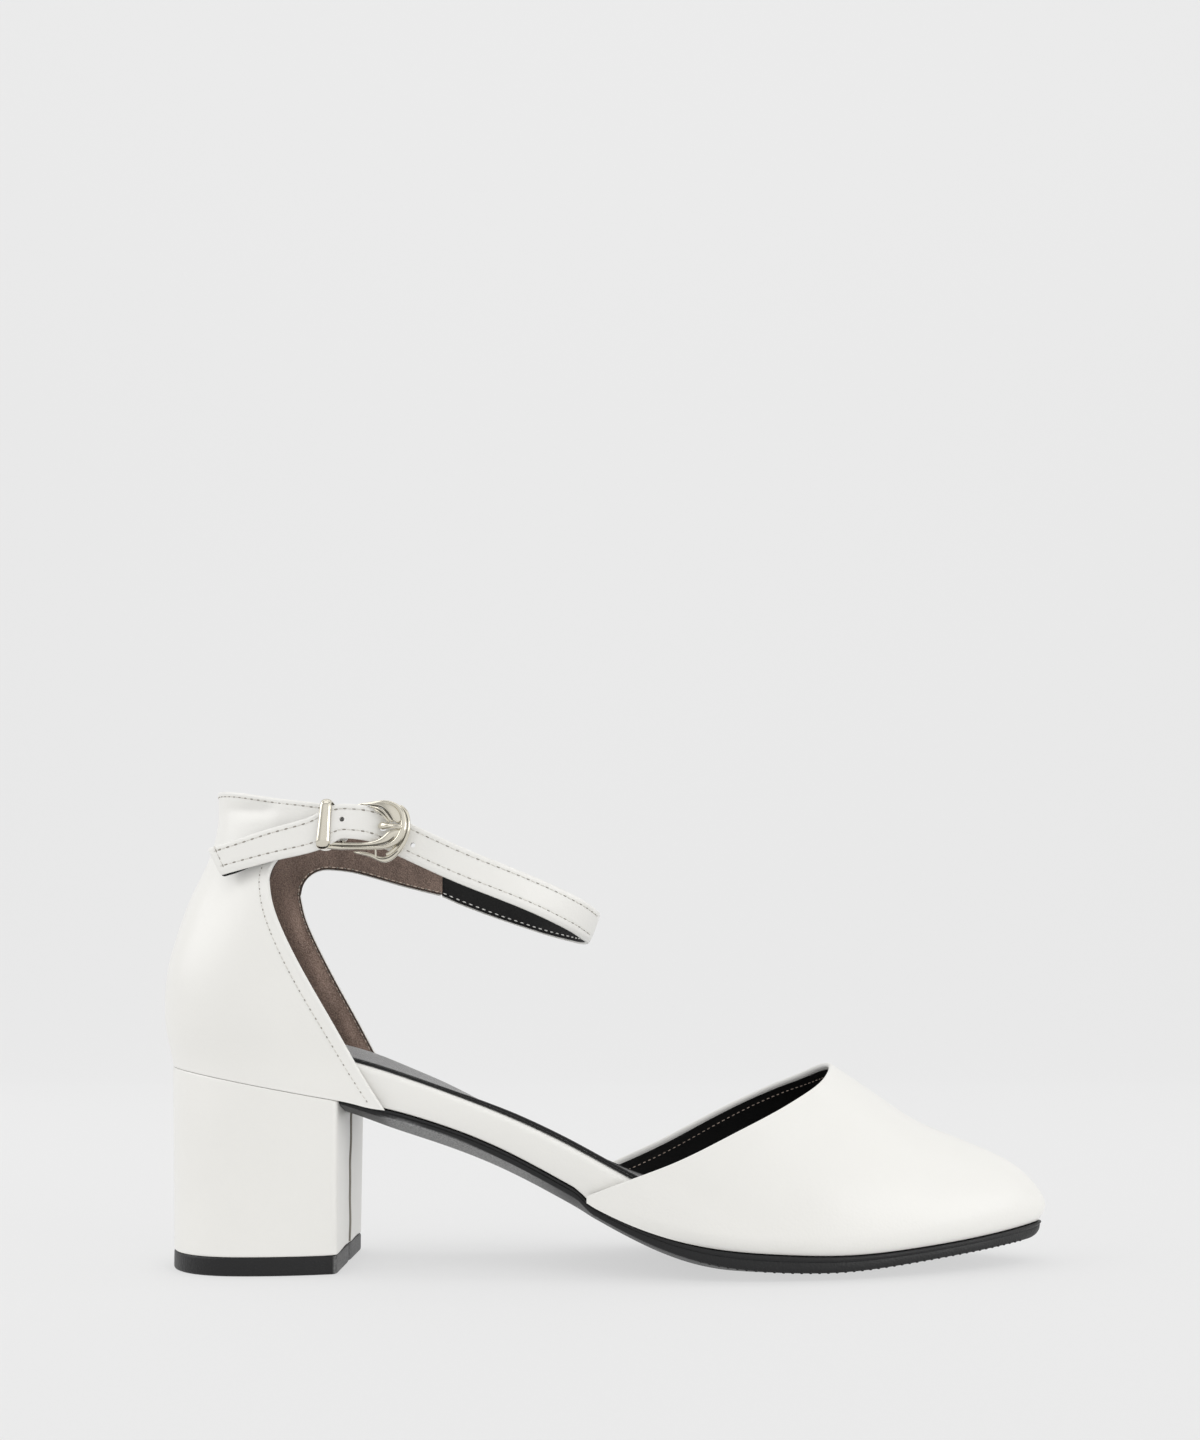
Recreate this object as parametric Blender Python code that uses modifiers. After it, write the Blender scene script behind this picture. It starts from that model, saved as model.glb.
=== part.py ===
"""Ankle strap block heel pump for the right foot, pointed toe, sides cut away.

Lengths are in millimetres and become metres where a mesh is made.
x runs from the back of the heel to the toe, y from the outer side to the inner side, z up from the floor.
"""
import math

import bmesh
import bpy
import numpy as np
from mathutils import Vector

MM = 0.001
OUTER = -1.0
INNER = 1.0

# Driving sizes
SHOE_LENGTH = 252.8
SEAT_BACK = 2.6
GAP = 0.3
VAMP_WALL = 1.6
COUNTER_WALL = 1.8
TOE_TURNS_IN = 3.0
TOE_TURN_START = 150.0

HEEL_BREAST = 53.3
HEEL_BACK_AT_FLOOR = 4.8
HEEL_FLOOR_HALF_WIDTH = 27.1
HEEL_FLOOR_BREAST_HALF_WIDTH = 23.2
HEEL_FLOOR_WIDEST = 29.0
HEEL_FLOOR_SQUARENESS = 2.3
HEEL_CORNER_RADIUS = 1.5
TOP_LIFT_HEIGHT = 5.0
TOP_LIFT_BEVEL = 0.5

VAMP_REAR = 120.5
THROAT_CENTRE = 190.4
LASTING_STEP = 1.7
LASTING_TUCK = 2.0
VAMP_BULGE_HEIGHT = 4.6
VAMP_ROUNDNESS = 2.1

FOOTBED_INSET = 2.3
OUTSOLE_WAIST_INSET = 2.5
OUTSOLE_TOE_INSET = 1.6
OUTSOLE_DOME_POWER = 2.0
SOCK_INSET = 1.4
SOCK_THICKNESS = 1.4
SOCK_FRONT = 236.0
FOOTBED_EDGE_ROUND = 2.0

EAR_ROOT = 33.5
EAR_ROOT_HEIGHT = 107.0
EAR_FILLET_LENGTH = 8.5
EAR_FILLET_RISE = 8.0
OUTER_EAR_END = 51.0
INNER_EAR_END = 75.9

STRAP_WIDTH = 9.5
STRAP_END_WIDTH = 8.3
STRAP_THICKNESS = 1.8
STRAP_STOPS = 21.0
STRAP_TAPER_STOP = 18.0
PRONG_HOLE = (65.2, -28.4, 120.8)
PRONG_HOLE_RADIUS = 1.9

BUCKLE_BAR = (54.0, -25.6, 121.1)
BUCKLE_RISE = 7.0
BUCKLE_HALF_HEIGHT = 6.4
BUCKLE_LENGTH = 18.3
BUCKLE_NOSE = 8.6
BUCKLE_CORNER = 1.6
BUCKLE_BAR_RADIUS = 0.75
PRONG_RADIUS = 0.7
KEEPER_X = (48.5, 52.1)
KEEPER_Y = (-30.1, -23.9)
KEEPER_Z = (114.9, 127.8)
KEEPER_CORNER = 1.0
KEEPER_WALL = 0.8


def from_both_ends(x):
    """Angle that opens quickly at the heel and at the toe, so that round ends become smooth rows."""
    share = (x - SEAT_BACK) / (SHOE_LENGTH - SEAT_BACK)
    return math.acos(1.0 - 2.0 * min(max(share, 0.0), 1.0))


def from_tip(x):
    """Root of the distance to the toe tip, in which the round toe profile is a smooth row."""
    return math.sqrt(max(SHOE_LENGTH - x, 0.0))


def plain(value):
    """Distance as it is."""
    return value


class Table:
    """Short table with named columns, read between its rows along a natural cubic."""

    def __init__(self, columns, rows, along=plain):
        names = columns.split()
        ordered = sorted(rows, key=lambda row: along(row[0]))
        self.along = along
        self.knots = np.array([along(row[0]) for row in ordered])
        self.values = {}
        self.bends = {}
        for place, name in enumerate(names[1:], start=1):
            heights = np.array([row[place] for row in ordered])
            self.values[name] = heights
            self.bends[name] = self.second_slopes(heights)

    def second_slopes(self, heights):
        count = len(heights)
        steps = np.diff(self.knots)
        matrix = np.eye(count)
        right = np.zeros(count)
        for row in range(1, count - 1):
            before = steps[row - 1]
            after = steps[row]
            matrix[row, row - 1] = before
            matrix[row, row] = 2.0 * (before + after)
            matrix[row, row + 1] = after
            rise_after = (heights[row + 1] - heights[row]) / after
            rise_before = (heights[row] - heights[row - 1]) / before
            right[row] = 6.0 * (rise_after - rise_before)
        return np.linalg.solve(matrix, right)

    def read(self, name, at):
        knots = self.knots
        place = min(max(self.along(at), knots[0]), knots[-1])
        right = int(min(max(np.searchsorted(knots, place), 1), len(knots) - 1))
        left = right - 1
        step = knots[right] - knots[left]
        ahead = (knots[right] - place) / step
        behind = (place - knots[left]) / step
        heights = self.values[name]
        bends = self.bends[name]
        curve = (ahead ** 3 - ahead) * bends[left] + (behind ** 3 - behind) * bends[right]
        return float(ahead * heights[left] + behind * heights[right] + curve * step * step / 6.0)


# Plan of the upper at its widest line, half widths to the outer and the inner side
PLAN = Table("x outer inner", [
    (2.6, 0.0, 0.0),
    (5.5, 10.4, 10.4),
    (12.0, 17.8, 17.8),
    (24.0, 23.9, 23.9),
    (38.0, 26.5, 26.4),
    (54.0, 26.3, 25.9),
    (75.0, 25.0, 23.5),
    (95.0, 25.4, 22.8),
    (115.0, 29.2, 26.0),
    (135.0, 35.0, 32.2),
    (157.0, 38.3, 37.3),
    (172.0, 38.0, 38.4),
    (190.0, 35.4, 36.6),
    (210.0, 29.0, 30.0),
    (228.0, 20.9, 21.2),
    (241.0, 12.8, 12.8),
    (249.0, 6.2, 6.2),
    (252.8, 0.0, 0.0),
], from_both_ends)

# Side view of the sole: seat of the upper, edge thickness, and underside along the middle
SOLE = Table("x seat edge middle", [
    (0.0, 56.2, 0.8, 52.0),
    (27.0, 51.35, 0.8, 47.2),
    (53.6, 46.6, 0.8, 42.4),
    (66.0, 44.2, 2.3, 38.0),
    (77.0, 41.1, 2.4, 34.3),
    (95.0, 34.3, 2.4, 27.4),
    (113.0, 25.2, 2.4, 18.2),
    (130.0, 16.7, 2.7, 8.9),
    (145.0, 11.8, 3.5, 2.4),
    (156.0, 9.9, 4.1, -0.2),
    (172.0, 8.6, 4.4, -0.4),
    (188.0, 8.0, 4.1, -0.2),
    (212.0, 9.1, 3.5, 1.9),
    (231.0, 10.8, 3.5, 4.2),
    (252.8, 13.2, 3.9, 7.2),
])

# Top of the wrapped footbed at its outer edge, and how much lower its inner edge lies
FOOTBED = Table("x top roll", [
    (2.0, 66.6, 0.0),
    (30.0, 62.0, 0.0),
    (58.0, 56.9, 0.8),
    (69.0, 53.5, 1.8),
    (84.0, 48.1, 3.0),
    (104.0, 39.9, 4.0),
    (116.0, 34.1, 4.1),
    (132.5, 25.4, 3.3),
    (145.0, 19.8, 1.8),
    (160.0, 15.4, 0.4),
    (180.0, 12.7, 0.0),
    (200.0, 11.9, 0.0),
    (220.0, 12.9, 0.0),
    (252.8, 15.8, 0.0),
])

# Ridge of the vamp, carried on above the throat so that the side walls keep their lean
CROWN = Table("x height", [
    (120.5, 94.0),
    (172.8, 67.6),
    (190.4, 56.6),
    (204.2, 47.3),
    (214.3, 40.6),
    (222.5, 36.9),
    (230.1, 33.9),
    (237.0, 31.0),
    (242.1, 28.4),
    (246.9, 24.8),
    (250.4, 20.8),
    (252.8, 15.7),
], from_tip)

# Edge of the throat, seen from the side
THROAT = Table("x outer inner", [
    (120.5, 21.7, 21.7),
    (131.0, 26.0, 26.5),
    (143.7, 31.0, 32.1),
    (160.0, 38.9, 40.6),
    (172.0, 44.7, 46.7),
    (180.0, 48.9, 50.6),
    (186.0, 52.6, 53.6),
    (190.4, 56.6, 56.6),
])

# Back upper by height: back line, girth against the seat plan, splay towards the front
COUNTER = Table("z back girth splay", [
    (43.0, 3.2, 1.0, 0.0),
    (50.0, 3.1, 1.0, 0.0),
    (56.0, 2.6, 1.0, 0.0),
    (66.0, 0.5, 1.035, 0.0),
    (74.0, 0.0, 1.055, 0.0),
    (84.0, 0.8, 1.055, 0.0004),
    (91.0, 2.5, 1.045, 0.001),
    (98.0, 4.6, 1.02, 0.002),
    (104.0, 6.8, 0.995, 0.003),
    (110.0, 9.6, 0.965, 0.004),
    (118.0, 12.8, 0.945, 0.0045),
    (126.0, 14.2, 0.93, 0.0045),
    (135.0, 13.8, 0.92, 0.0045),
])

# Front edge of the back upper by height
COUNTER_FRONT = Table("z front", [
    (43.7, 66.3),
    (52.4, 60.7),
    (66.6, 52.6),
    (84.8, 42.2),
    (94.0, 37.5),
    (101.0, 34.7),
    (107.0, 33.5),
])

# Top edge of the back upper and lower edge of its ears
TOPLINE = Table("x outer inner", [
    (14.0, 134.3, 134.3),
    (24.0, 132.2, 132.2),
    (33.5, 130.0, 130.0),
    (42.0, 128.6, 128.6),
    (48.0, 127.6, 127.2),
    (55.0, 126.8, 124.9),
    (65.0, 126.8, 120.7),
    (76.0, 126.8, 116.6),
])
EAR_LOW = Table("x outer inner", [
    (33.5, 115.0, 115.0),
    (42.0, 115.2, 114.9),
    (48.4, 115.3, 114.3),
    (55.0, 115.2, 112.7),
    (65.0, 115.2, 109.8),
    (76.0, 115.2, 107.0),
])

# Middle line of the strap, from the inner ear round the front to the free end
STRAP_ROUTE = Table("stop x y z", [
    (0, 76.6, 27.8, 111.6),
    (1, 86.0, 27.5, 108.0),
    (2, 95.4, 26.0, 104.4),
    (3, 104.9, 22.9, 101.0),
    (4, 112.0, 19.1, 98.5),
    (5, 118.0, 14.2, 96.6),
    (6, 122.0, 7.8, 95.5),
    (7, 123.5, 0.0, 95.3),
    (8, 122.0, -7.8, 95.8),
    (9, 118.0, -14.2, 97.6),
    (10, 112.0, -19.1, 100.3),
    (11, 104.9, -22.9, 103.2),
    (12, 95.4, -26.0, 106.8),
    (13, 86.0, -27.2, 110.5),
    (14, 76.5, -27.3, 114.8),
    (15, 69.0, -27.2, 118.4),
    (16, 63.0, -28.8, 121.1),
    (17, 56.5, -29.6, 122.0),
    (18, 48.5, -28.2, 119.8),
    (19, 38.0, -26.5, 116.9),
    (20, 28.0, -24.6, 114.4),
    (21, 18.3, -22.2, 111.9),
])

# Prong after its turn round the bar, seen from above
PRONG_ROUTE = [
    (57.4, -24.7),
    (60.6, -25.7),
    (63.4, -27.0),
    (65.2, -28.7),
    (66.4, -31.0),
    (67.9, -33.2),
    (69.8, -34.4),
    (72.0, -34.7),
]


def smoothstep(low, high, at):
    share = min(max((at - low) / (high - low), 0.0), 1.0)
    return share * share * (3.0 - 2.0 * share)


def mix(first, second, share):
    return first + (second - first) * share


def spread(first, last, count):
    """Evenly spaced values, both ends included."""
    return [mix(first, last, step / (count - 1)) for step in range(count)]


def side_name(side):
    return "outer" if side < 0.0 else "inner"


def half_width(x, side):
    return PLAN.read(side_name(side), x)


def toe_axis(x):
    """The pointed toe turns in towards the inner side."""
    return TOE_TURNS_IN * smoothstep(TOE_TURN_START, SHOE_LENGTH, x)


def plan_point(turn, side):
    """Point of the plan at an angle from the heel, 0, to the toe, pi. Past an end it mirrors."""
    x = SEAT_BACK + (SHOE_LENGTH - SEAT_BACK) * (1.0 - math.cos(turn)) / 2.0
    sign = -1.0 if turn < 0.0 or turn > math.pi else 1.0
    return Vector((x, toe_axis(x) + sign * side * half_width(x, side)))


def outline(turn, side, inset):
    """Plan point moved inwards, square to the plan."""
    nudge = 0.004
    here = plan_point(turn, side)
    run = plan_point(turn + nudge, side) - plan_point(turn - nudge, side)
    run.normalize()
    inwards = Vector((run.y, -run.x)) * side
    return here + inwards * inset


def turns(x_from, x_to, count):
    """Angles of the sections between two places on the shoe's length."""
    return spread(from_both_ends(x_from), from_both_ends(x_to), count)


def length_at(turn):
    return plan_point(turn, OUTER).x


def under_upper(x):
    """Line on which upper and footbed sit: the seat, one lasting margin lower under the vamp."""
    return SOLE.read("seat", x) - LASTING_STEP * smoothstep(VAMP_REAR - 4.0, VAMP_REAR + 1.0, x)


def lasting_tuck(x):
    """How far the vamp's lower edge tucks in under its widest line."""
    return LASTING_TUCK * smoothstep(VAMP_REAR, VAMP_REAR + 30.0, x)


def footbed_inset(x):
    return FOOTBED_INSET + lasting_tuck(x)


def outsole_inset(x):
    return mix(OUTSOLE_WAIST_INSET, OUTSOLE_TOE_INSET, smoothstep(VAMP_REAR, VAMP_REAR + 40.0, x))


def make_material(name, colour, roughness, metallic=0.0):
    material = bpy.data.materials.new(name)
    material.use_nodes = True
    shader = material.node_tree.nodes["Principled BSDF"]
    shader.inputs["Base Color"].default_value = (*colour, 1.0)
    shader.inputs["Roughness"].default_value = roughness
    shader.inputs["Metallic"].default_value = metallic
    return material


def add_object(name, data, material, parent):
    piece = bpy.data.objects.new(name, data)
    piece.data.materials.append(material)
    piece.parent = parent
    PARTS.objects.link(piece)
    return piece


def mesh_from(name, points, faces):
    """Mesh in metres, centred on the shoe's length, with its faces turned outwards."""
    middle = SHOE_LENGTH / 2.0
    mesh = bpy.data.meshes.new(name)
    shape = bmesh.new()
    corners = [shape.verts.new(((x - middle) * MM, y * MM, z * MM)) for x, y, z in points]
    for face in faces:
        shape.faces.new([corners[index] for index in face])
    bmesh.ops.recalc_face_normals(shape, faces=shape.faces)
    shape.to_mesh(mesh)
    shape.free()
    mesh.shade_smooth()
    mesh.set_sharp_from_angle(angle=math.radians(35.0))
    return mesh


def loft(name, rings, joined=False):
    """Solid through rings of equal count. A joined loft comes back to its first ring."""
    count = len(rings[0])
    points = [point for ring in rings for point in ring]
    faces = []
    last = len(rings) if joined else len(rings) - 1
    for row in range(last):
        start = row * count
        following = ((row + 1) % len(rings)) * count
        for place in range(count):
            beside = (place + 1) % count
            faces.append((start + place, start + beside, following + beside, following + place))
    if not joined:
        faces.append(tuple(range(count)))
        faces.append(tuple(reversed(range(len(points) - count, len(points)))))
    return mesh_from(name, points, faces)


def grid_faces(numbers):
    """Faces between neighbouring rows of point numbers, left out where a number is missing."""
    faces = []
    for low, high in zip(numbers[:-1], numbers[1:]):
        for place in range(len(low) - 1):
            face = (low[place], low[place + 1], high[place + 1], high[place])
            if None not in face:
                faces.append(face)
    return faces


def add_wall(piece, thickness):
    wall = piece.modifiers.new("wall", "SOLIDIFY")
    wall.thickness = thickness * MM
    wall.offset = -1.0
    wall.use_even_offset = True


def across(low_side, high_side, share, height):
    """Point between the two sides of a section, share from -1 to 1."""
    plan = mix(low_side, high_side, (share + 1.0) / 2.0)
    return (plan.x, plan.y, height)


def row_between(first, last, count):
    """Evenly spaced points on a straight line, both ends included."""
    return [tuple(Vector(first).lerp(Vector(last), share)) for share in spread(0.0, 1.0, count)]


def make_outsole(parent, material):
    shares_below = (-1.0, -0.92, -0.76, -0.52, -0.26, 0.0, 0.26, 0.52, 0.76, 0.92, 1.0)
    shares_above = (1.0, 0.5, 0.0, -0.5, -1.0)
    rings = []
    for turn in turns(HEEL_BREAST + GAP, 252.75, 44):
        x = length_at(turn)
        top = under_upper(x) - GAP / 2.0
        edge = top - SOLE.read("edge", x)
        middle = SOLE.read("middle", x)
        outer = outline(turn, OUTER, outsole_inset(x))
        inner = outline(turn, INNER, outsole_inset(x))
        ring = []
        for share in shares_below:
            height = mix(middle, edge, abs(share) ** OUTSOLE_DOME_POWER)
            ring.append(across(outer, inner, share, max(height, 0.0)))
        for share in shares_above:
            ring.append(across(outer, inner, share, top))
        rings.append(ring)
    add_object("outsole", loft("outsole", rings), material, parent)


def footbed_top(x, side):
    """Height of the footbed's flat top at its outer or inner edge."""
    return FOOTBED.read("top", x) - (FOOTBED.read("roll", x) if side > 0.0 else 0.0)


def make_footbed(parent, material):
    rings = []
    for turn in turns(2.65, 252.75, 46):
        x = length_at(turn)
        low = under_upper(x) + GAP / 2.0
        inset = footbed_inset(x)
        edges = []
        for side in (OUTER, INNER):
            top = footbed_top(x, side)
            rounding = min(FOOTBED_EDGE_ROUND, 0.45 * (top - low))
            steps = [
                (inset + 0.8, low),
                (inset, low + 1.0),
                (inset, top - rounding),
                (inset + 0.3 * rounding, top - 0.3 * rounding),
                (inset + rounding, top),
            ]
            edges.append([(*outline(turn, side, depth), height) for depth, height in steps])
        outer, inner = edges
        flat = row_between(outer[-1], inner[-1], 5)
        rings.append(outer[:-1] + flat + inner[-2::-1])
    add_object("footbed", loft("footbed", rings), material, parent)


def make_sock(parent, material):
    rings = []
    for turn in turns(2.65, SOCK_FRONT, 36):
        x = length_at(turn)
        depth = footbed_inset(x) + SOCK_INSET
        outer = (*outline(turn, OUTER, depth), footbed_top(x, OUTER) + GAP)
        inner = (*outline(turn, INNER, depth), footbed_top(x, INNER) + GAP)
        below = row_between(outer, inner, 5)
        above = [(px, py, pz + SOCK_THICKNESS) for px, py, pz in reversed(below)]
        rings.append(below + above)
    add_object("insole_sock", loft("insole_sock", rings), material, parent)


def heel_floor_half_width(x):
    """Half width of the heel at the floor: round back, then sides that draw in to the breast."""
    behind = max(HEEL_FLOOR_WIDEST - x, 0.0) / (HEEL_FLOOR_WIDEST - HEEL_BACK_AT_FLOOR)
    ahead = max(x - HEEL_FLOOR_WIDEST, 0.0) / (HEEL_BREAST - HEEL_FLOOR_WIDEST)
    back = max(1.0 - behind ** HEEL_FLOOR_SQUARENESS, 0.0) ** (1.0 / HEEL_FLOOR_SQUARENESS)
    return back * mix(HEEL_FLOOR_HALF_WIDTH, HEEL_FLOOR_BREAST_HALF_WIDTH, ahead ** 2)


def heel_plan(share_down):
    """Heel outline from its top, 0, to the floor, 1, with a flat breast."""
    points = []
    for side in (OUTER, INNER):
        edge = []
        for turn in turns(2.65, HEEL_BREAST - HEEL_CORNER_RADIUS, 15):
            x = length_at(turn)
            share_forward = (x - SEAT_BACK) / (HEEL_BREAST - SEAT_BACK)
            x_floor = mix(HEEL_BACK_AT_FLOOR, HEEL_BREAST, share_forward)
            half = mix(half_width(x, side), heel_floor_half_width(x_floor), share_down)
            edge.append((mix(x, x_floor, share_down), side * half))
        corner = abs(edge[-1][1])
        for angle in (30.0, 60.0, 90.0):
            turn = math.radians(angle)
            x = HEEL_BREAST - HEEL_CORNER_RADIUS * (1.0 - math.sin(turn))
            edge.append((x, side * (corner - HEEL_CORNER_RADIUS * (1.0 - math.cos(turn)))))
        points += edge if side < 0.0 else list(reversed(edge))
    return points


def make_heel(parent, wrapping, rubber):
    base = TOP_LIFT_HEIGHT + GAP
    rings = []
    for share in spread(0.0, 1.0, 5):
        ring = []
        for x, y in heel_plan(share):
            top = SOLE.read("seat", x) - GAP / 2.0
            ring.append((x, y, mix(top, base, share)))
        rings.append(ring)
    add_object("heel_block", loft("heel_block", rings), wrapping, parent)

    foot = heel_plan(1.0)
    middle = (HEEL_BACK_AT_FLOOR + HEEL_BREAST) / 2.0
    shrink = 1.0 - TOP_LIFT_BEVEL / HEEL_FLOOR_HALF_WIDTH
    small = [(middle + (x - middle) * shrink, y * shrink) for x, y in foot]
    rings = [
        [(x, y, 0.0) for x, y in small],
        [(x, y, TOP_LIFT_BEVEL) for x, y in foot],
        [(x, y, TOP_LIFT_HEIGHT) for x, y in foot],
    ]
    add_object("heel_top_lift", loft("heel_top_lift", rings), rubber, parent)


def vamp_widest(x):
    """Height of the vamp's widest line, low where the throat comes down to the sole."""
    low = under_upper(x) + GAP / 2.0
    room = THROAT.read("outer", x) - low
    return low + min(VAMP_BULGE_HEIGHT, 0.4 * room)


def vamp_height(x, y):
    """Height of the outer face over a point of the plan."""
    side = OUTER if y < toe_axis(x) else INNER
    widest = vamp_widest(x)
    reach = abs(y - toe_axis(x)) / max(half_width(x, side), 1e-6)
    bow = max(1.0 - min(reach, 1.0) ** VAMP_ROUNDNESS, 0.0)
    return widest + (CROWN.read("height", x) - widest) * math.sqrt(bow)


def throat_point(x, side):
    """Plan point of the throat's edge, where its height meets the outer face."""
    widest = vamp_widest(x)
    rise = (THROAT.read(side_name(side), x) - widest) / (CROWN.read("height", x) - widest)
    reach = max(1.0 - min(rise, 1.0) ** 2.0, 0.0) ** (1.0 / VAMP_ROUNDNESS)
    return Vector((x, toe_axis(x) + side * reach * half_width(x, side)))


def vamp_column(share, side):
    """Points up the vamp from the lasted edge to the throat, share 0 at the rear and 1 at the toe."""
    sweep = math.sin(share * math.pi / 2.0)
    x_low = mix(VAMP_REAR, SHOE_LENGTH, sweep)
    turn = from_both_ends(x_low)
    tuck = lasting_tuck(x_low)
    low = under_upper(x_low) + GAP / 2.0
    widest = vamp_widest(x_low)
    column = []
    for inset, rise in ((1.0, 0.0), (0.4, 0.35), (0.1, 0.7)):
        column.append((*outline(turn, side, inset * tuck), mix(low, widest, rise)))
    foot = plan_point(turn, side)
    edge = throat_point(mix(VAMP_REAR, THROAT_CENTRE, sweep ** 0.75), side)
    column.append((*foot, widest))
    for step in spread(0.1, 1.0, 10):
        place = mix(foot, edge, 1.0 - math.cos(step * math.pi / 2.0))
        column.append((*place, vamp_height(place.x, place.y)))
    return column


def make_vamp(parent, material):
    shares = spread(0.0, 1.0, 24)
    columns = [vamp_column(share, OUTER) for share in shares]
    columns += [vamp_column(share, INNER) for share in reversed(shares[:-1])]
    rows = len(columns[0])
    points = [point for column in columns for point in column]
    numbers = [[place * rows + row for row in range(rows)] for place in range(len(columns))]
    piece = add_object("vamp", mesh_from("vamp", points, grid_faces(numbers)), material, parent)
    add_wall(piece, VAMP_WALL)


def counter_point(x, z, side):
    """Outer face of the back upper: the seat plan carried up along the back line."""
    back = COUNTER.read("back", z)
    width = half_width(x - back + SEAT_BACK, side)
    girth = COUNTER.read("girth", z) + COUNTER.read("splay", z) * (x - EAR_ROOT)
    return (x, side * width * girth, z)


def counter_column(share, side, rows_below, rows_above):
    """Points up the back upper, share 0 at the centre back and 1 at its front edge."""
    forward = share ** 1.7
    z_low = SOLE.read("seat", SEAT_BACK)
    for settle in range(12):
        x_low = mix(COUNTER.read("back", z_low), COUNTER_FRONT.read("front", z_low), forward)
        z_low = SOLE.read("seat", x_low) + GAP / 2.0
    heights = spread(z_low, EAR_ROOT_HEIGHT, rows_below)
    column = []
    for z in heights:
        x = mix(COUNTER.read("back", z), COUNTER_FRONT.read("front", z), forward)
        column.append(counter_point(x, z, side))
    z_top = TOPLINE.read(side_name(side), mix(15.0, EAR_ROOT, forward))
    for z in spread(EAR_ROOT_HEIGHT, z_top, rows_above)[1:]:
        x = mix(COUNTER.read("back", z), EAR_ROOT, forward)
        column.append(counter_point(x, z, side))
    return column


def ear_column(x, side, rows_above):
    """Points across an ear, from its lower edge to the top edge."""
    from_round = max(EAR_ROOT + EAR_FILLET_LENGTH - x, 0.0) / EAR_FILLET_LENGTH
    drop = EAR_FILLET_RISE * (1.0 - math.sqrt(max(1.0 - from_round ** 2, 0.0)))
    low = EAR_LOW.read(side_name(side), x) - drop
    top = TOPLINE.read(side_name(side), x)
    return [counter_point(x, z, side) for z in spread(low, top, rows_above)]


def ear_places(end):
    """Places along an ear, close together in the round corner at its root."""
    corner = [EAR_ROOT + EAR_FILLET_LENGTH * share ** 2 for share in (0.2, 0.42, 0.64, 0.84, 1.0)]
    straight = spread(corner[-1], end, 2 + round((end - corner[-1]) / 6.0))
    return corner + straight[1:]


def make_counter(parent, material):
    rows_below = 11
    rows_above = 6
    shares = spread(0.0, 1.0, 15)
    columns = []
    for side, end in ((OUTER, OUTER_EAR_END), (INNER, INNER_EAR_END)):
        missing = [None] * (rows_below - 1)
        ear = [missing + ear_column(x, side, rows_above) for x in ear_places(end)]
        body = [counter_column(share, side, rows_below, rows_above) for share in shares]
        half = body + ear
        columns = list(reversed(half)) if side < 0.0 else columns + half[1:]
    points = []
    numbers = []
    for column in columns:
        row = []
        for point in column:
            row.append(None if point is None else len(points))
            if point is not None:
                points.append(point)
        numbers.append(row)
    mesh = mesh_from("heel_counter", points, grid_faces(numbers))
    piece = add_object("heel_counter", mesh, material, parent)
    add_wall(piece, COUNTER_WALL)


def strap_middle(stop):
    return Vector([STRAP_ROUTE.read(name, stop) for name in ("x", "y", "z")])


def make_strap(parent, material):
    rings = []
    for stop in spread(0.0, STRAP_STOPS, 85):
        middle = strap_middle(stop)
        run = strap_middle(min(stop + 0.05, STRAP_STOPS)) - strap_middle(max(stop - 0.05, 0.0))
        run.normalize()
        upwards = Vector((0.0, 0.0, 1.0))
        square = (upwards - run * run.dot(upwards)).normalized()
        outwards = run.cross(square)
        rise = upwards.lerp(square, smoothstep(0.0, 1.0, stop)).normalized()
        free = smoothstep(STRAP_TAPER_STOP, STRAP_STOPS, stop)
        half = rise * mix(STRAP_WIDTH, STRAP_END_WIDTH, free) / 2.0
        depth = outwards * STRAP_THICKNESS / 2.0
        rings.append([tuple(middle + edge) for edge in (half + depth, half - depth, -half - depth, depth - half)])
    piece = add_object("ankle_strap", loft("ankle_strap", rings), material, parent)

    bpy.ops.mesh.primitive_cylinder_add(vertices=16, radius=PRONG_HOLE_RADIUS * MM, depth=8.0 * MM)
    cutter = bpy.context.object
    cutter.name = "prong_hole_cutter"
    x, y, z = PRONG_HOLE
    cutter.location = ((x - SHOE_LENGTH / 2.0) * MM, y * MM, z * MM)
    cutter.rotation_euler = (math.pi / 2.0, 0.0, 0.0)
    cutter.hide_render = True
    cutter.display_type = "WIRE"
    for owner in list(cutter.users_collection):
        owner.objects.unlink(cutter)
    CUTTERS.objects.link(cutter)
    hole = piece.modifiers.new("prong_hole", "BOOLEAN")
    hole.operation = "DIFFERENCE"
    hole.object = cutter


def buckle_path():
    """Middle line of the frame in its own plane: bar, corners, rails and round nose."""
    nose = BUCKLE_LENGTH - BUCKLE_NOSE
    tall = BUCKLE_HALF_HEIGHT
    corner = BUCKLE_CORNER
    path = [(0.0, height) for height in spread(corner - tall, tall - corner, 5)]
    for angle in (30.0, 60.0, 90.0):
        turn = math.radians(angle)
        path.append((corner * (1.0 - math.cos(turn)), tall - corner + corner * math.sin(turn)))
    path += [(along, tall) for along in spread(corner, nose, 4)[1:-1]]
    for angle in spread(90.0, -90.0, 17):
        turn = math.radians(angle)
        path.append((nose + BUCKLE_NOSE * math.cos(turn), tall * math.sin(turn)))
    path += [(along, -tall) for along in spread(nose, corner, 4)[1:-1]]
    for angle in (90.0, 60.0, 30.0):
        turn = math.radians(angle)
        path.append((corner * (1.0 - math.cos(turn)), corner - tall - corner * math.sin(turn)))
    return path


def buckle_rise(along):
    """How far the frame bends out from its bar, so that the strap passes over the bar and under the nose."""
    return BUCKLE_RISE * (1.0 - (1.0 - along / BUCKLE_LENGTH) ** 2)


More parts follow.
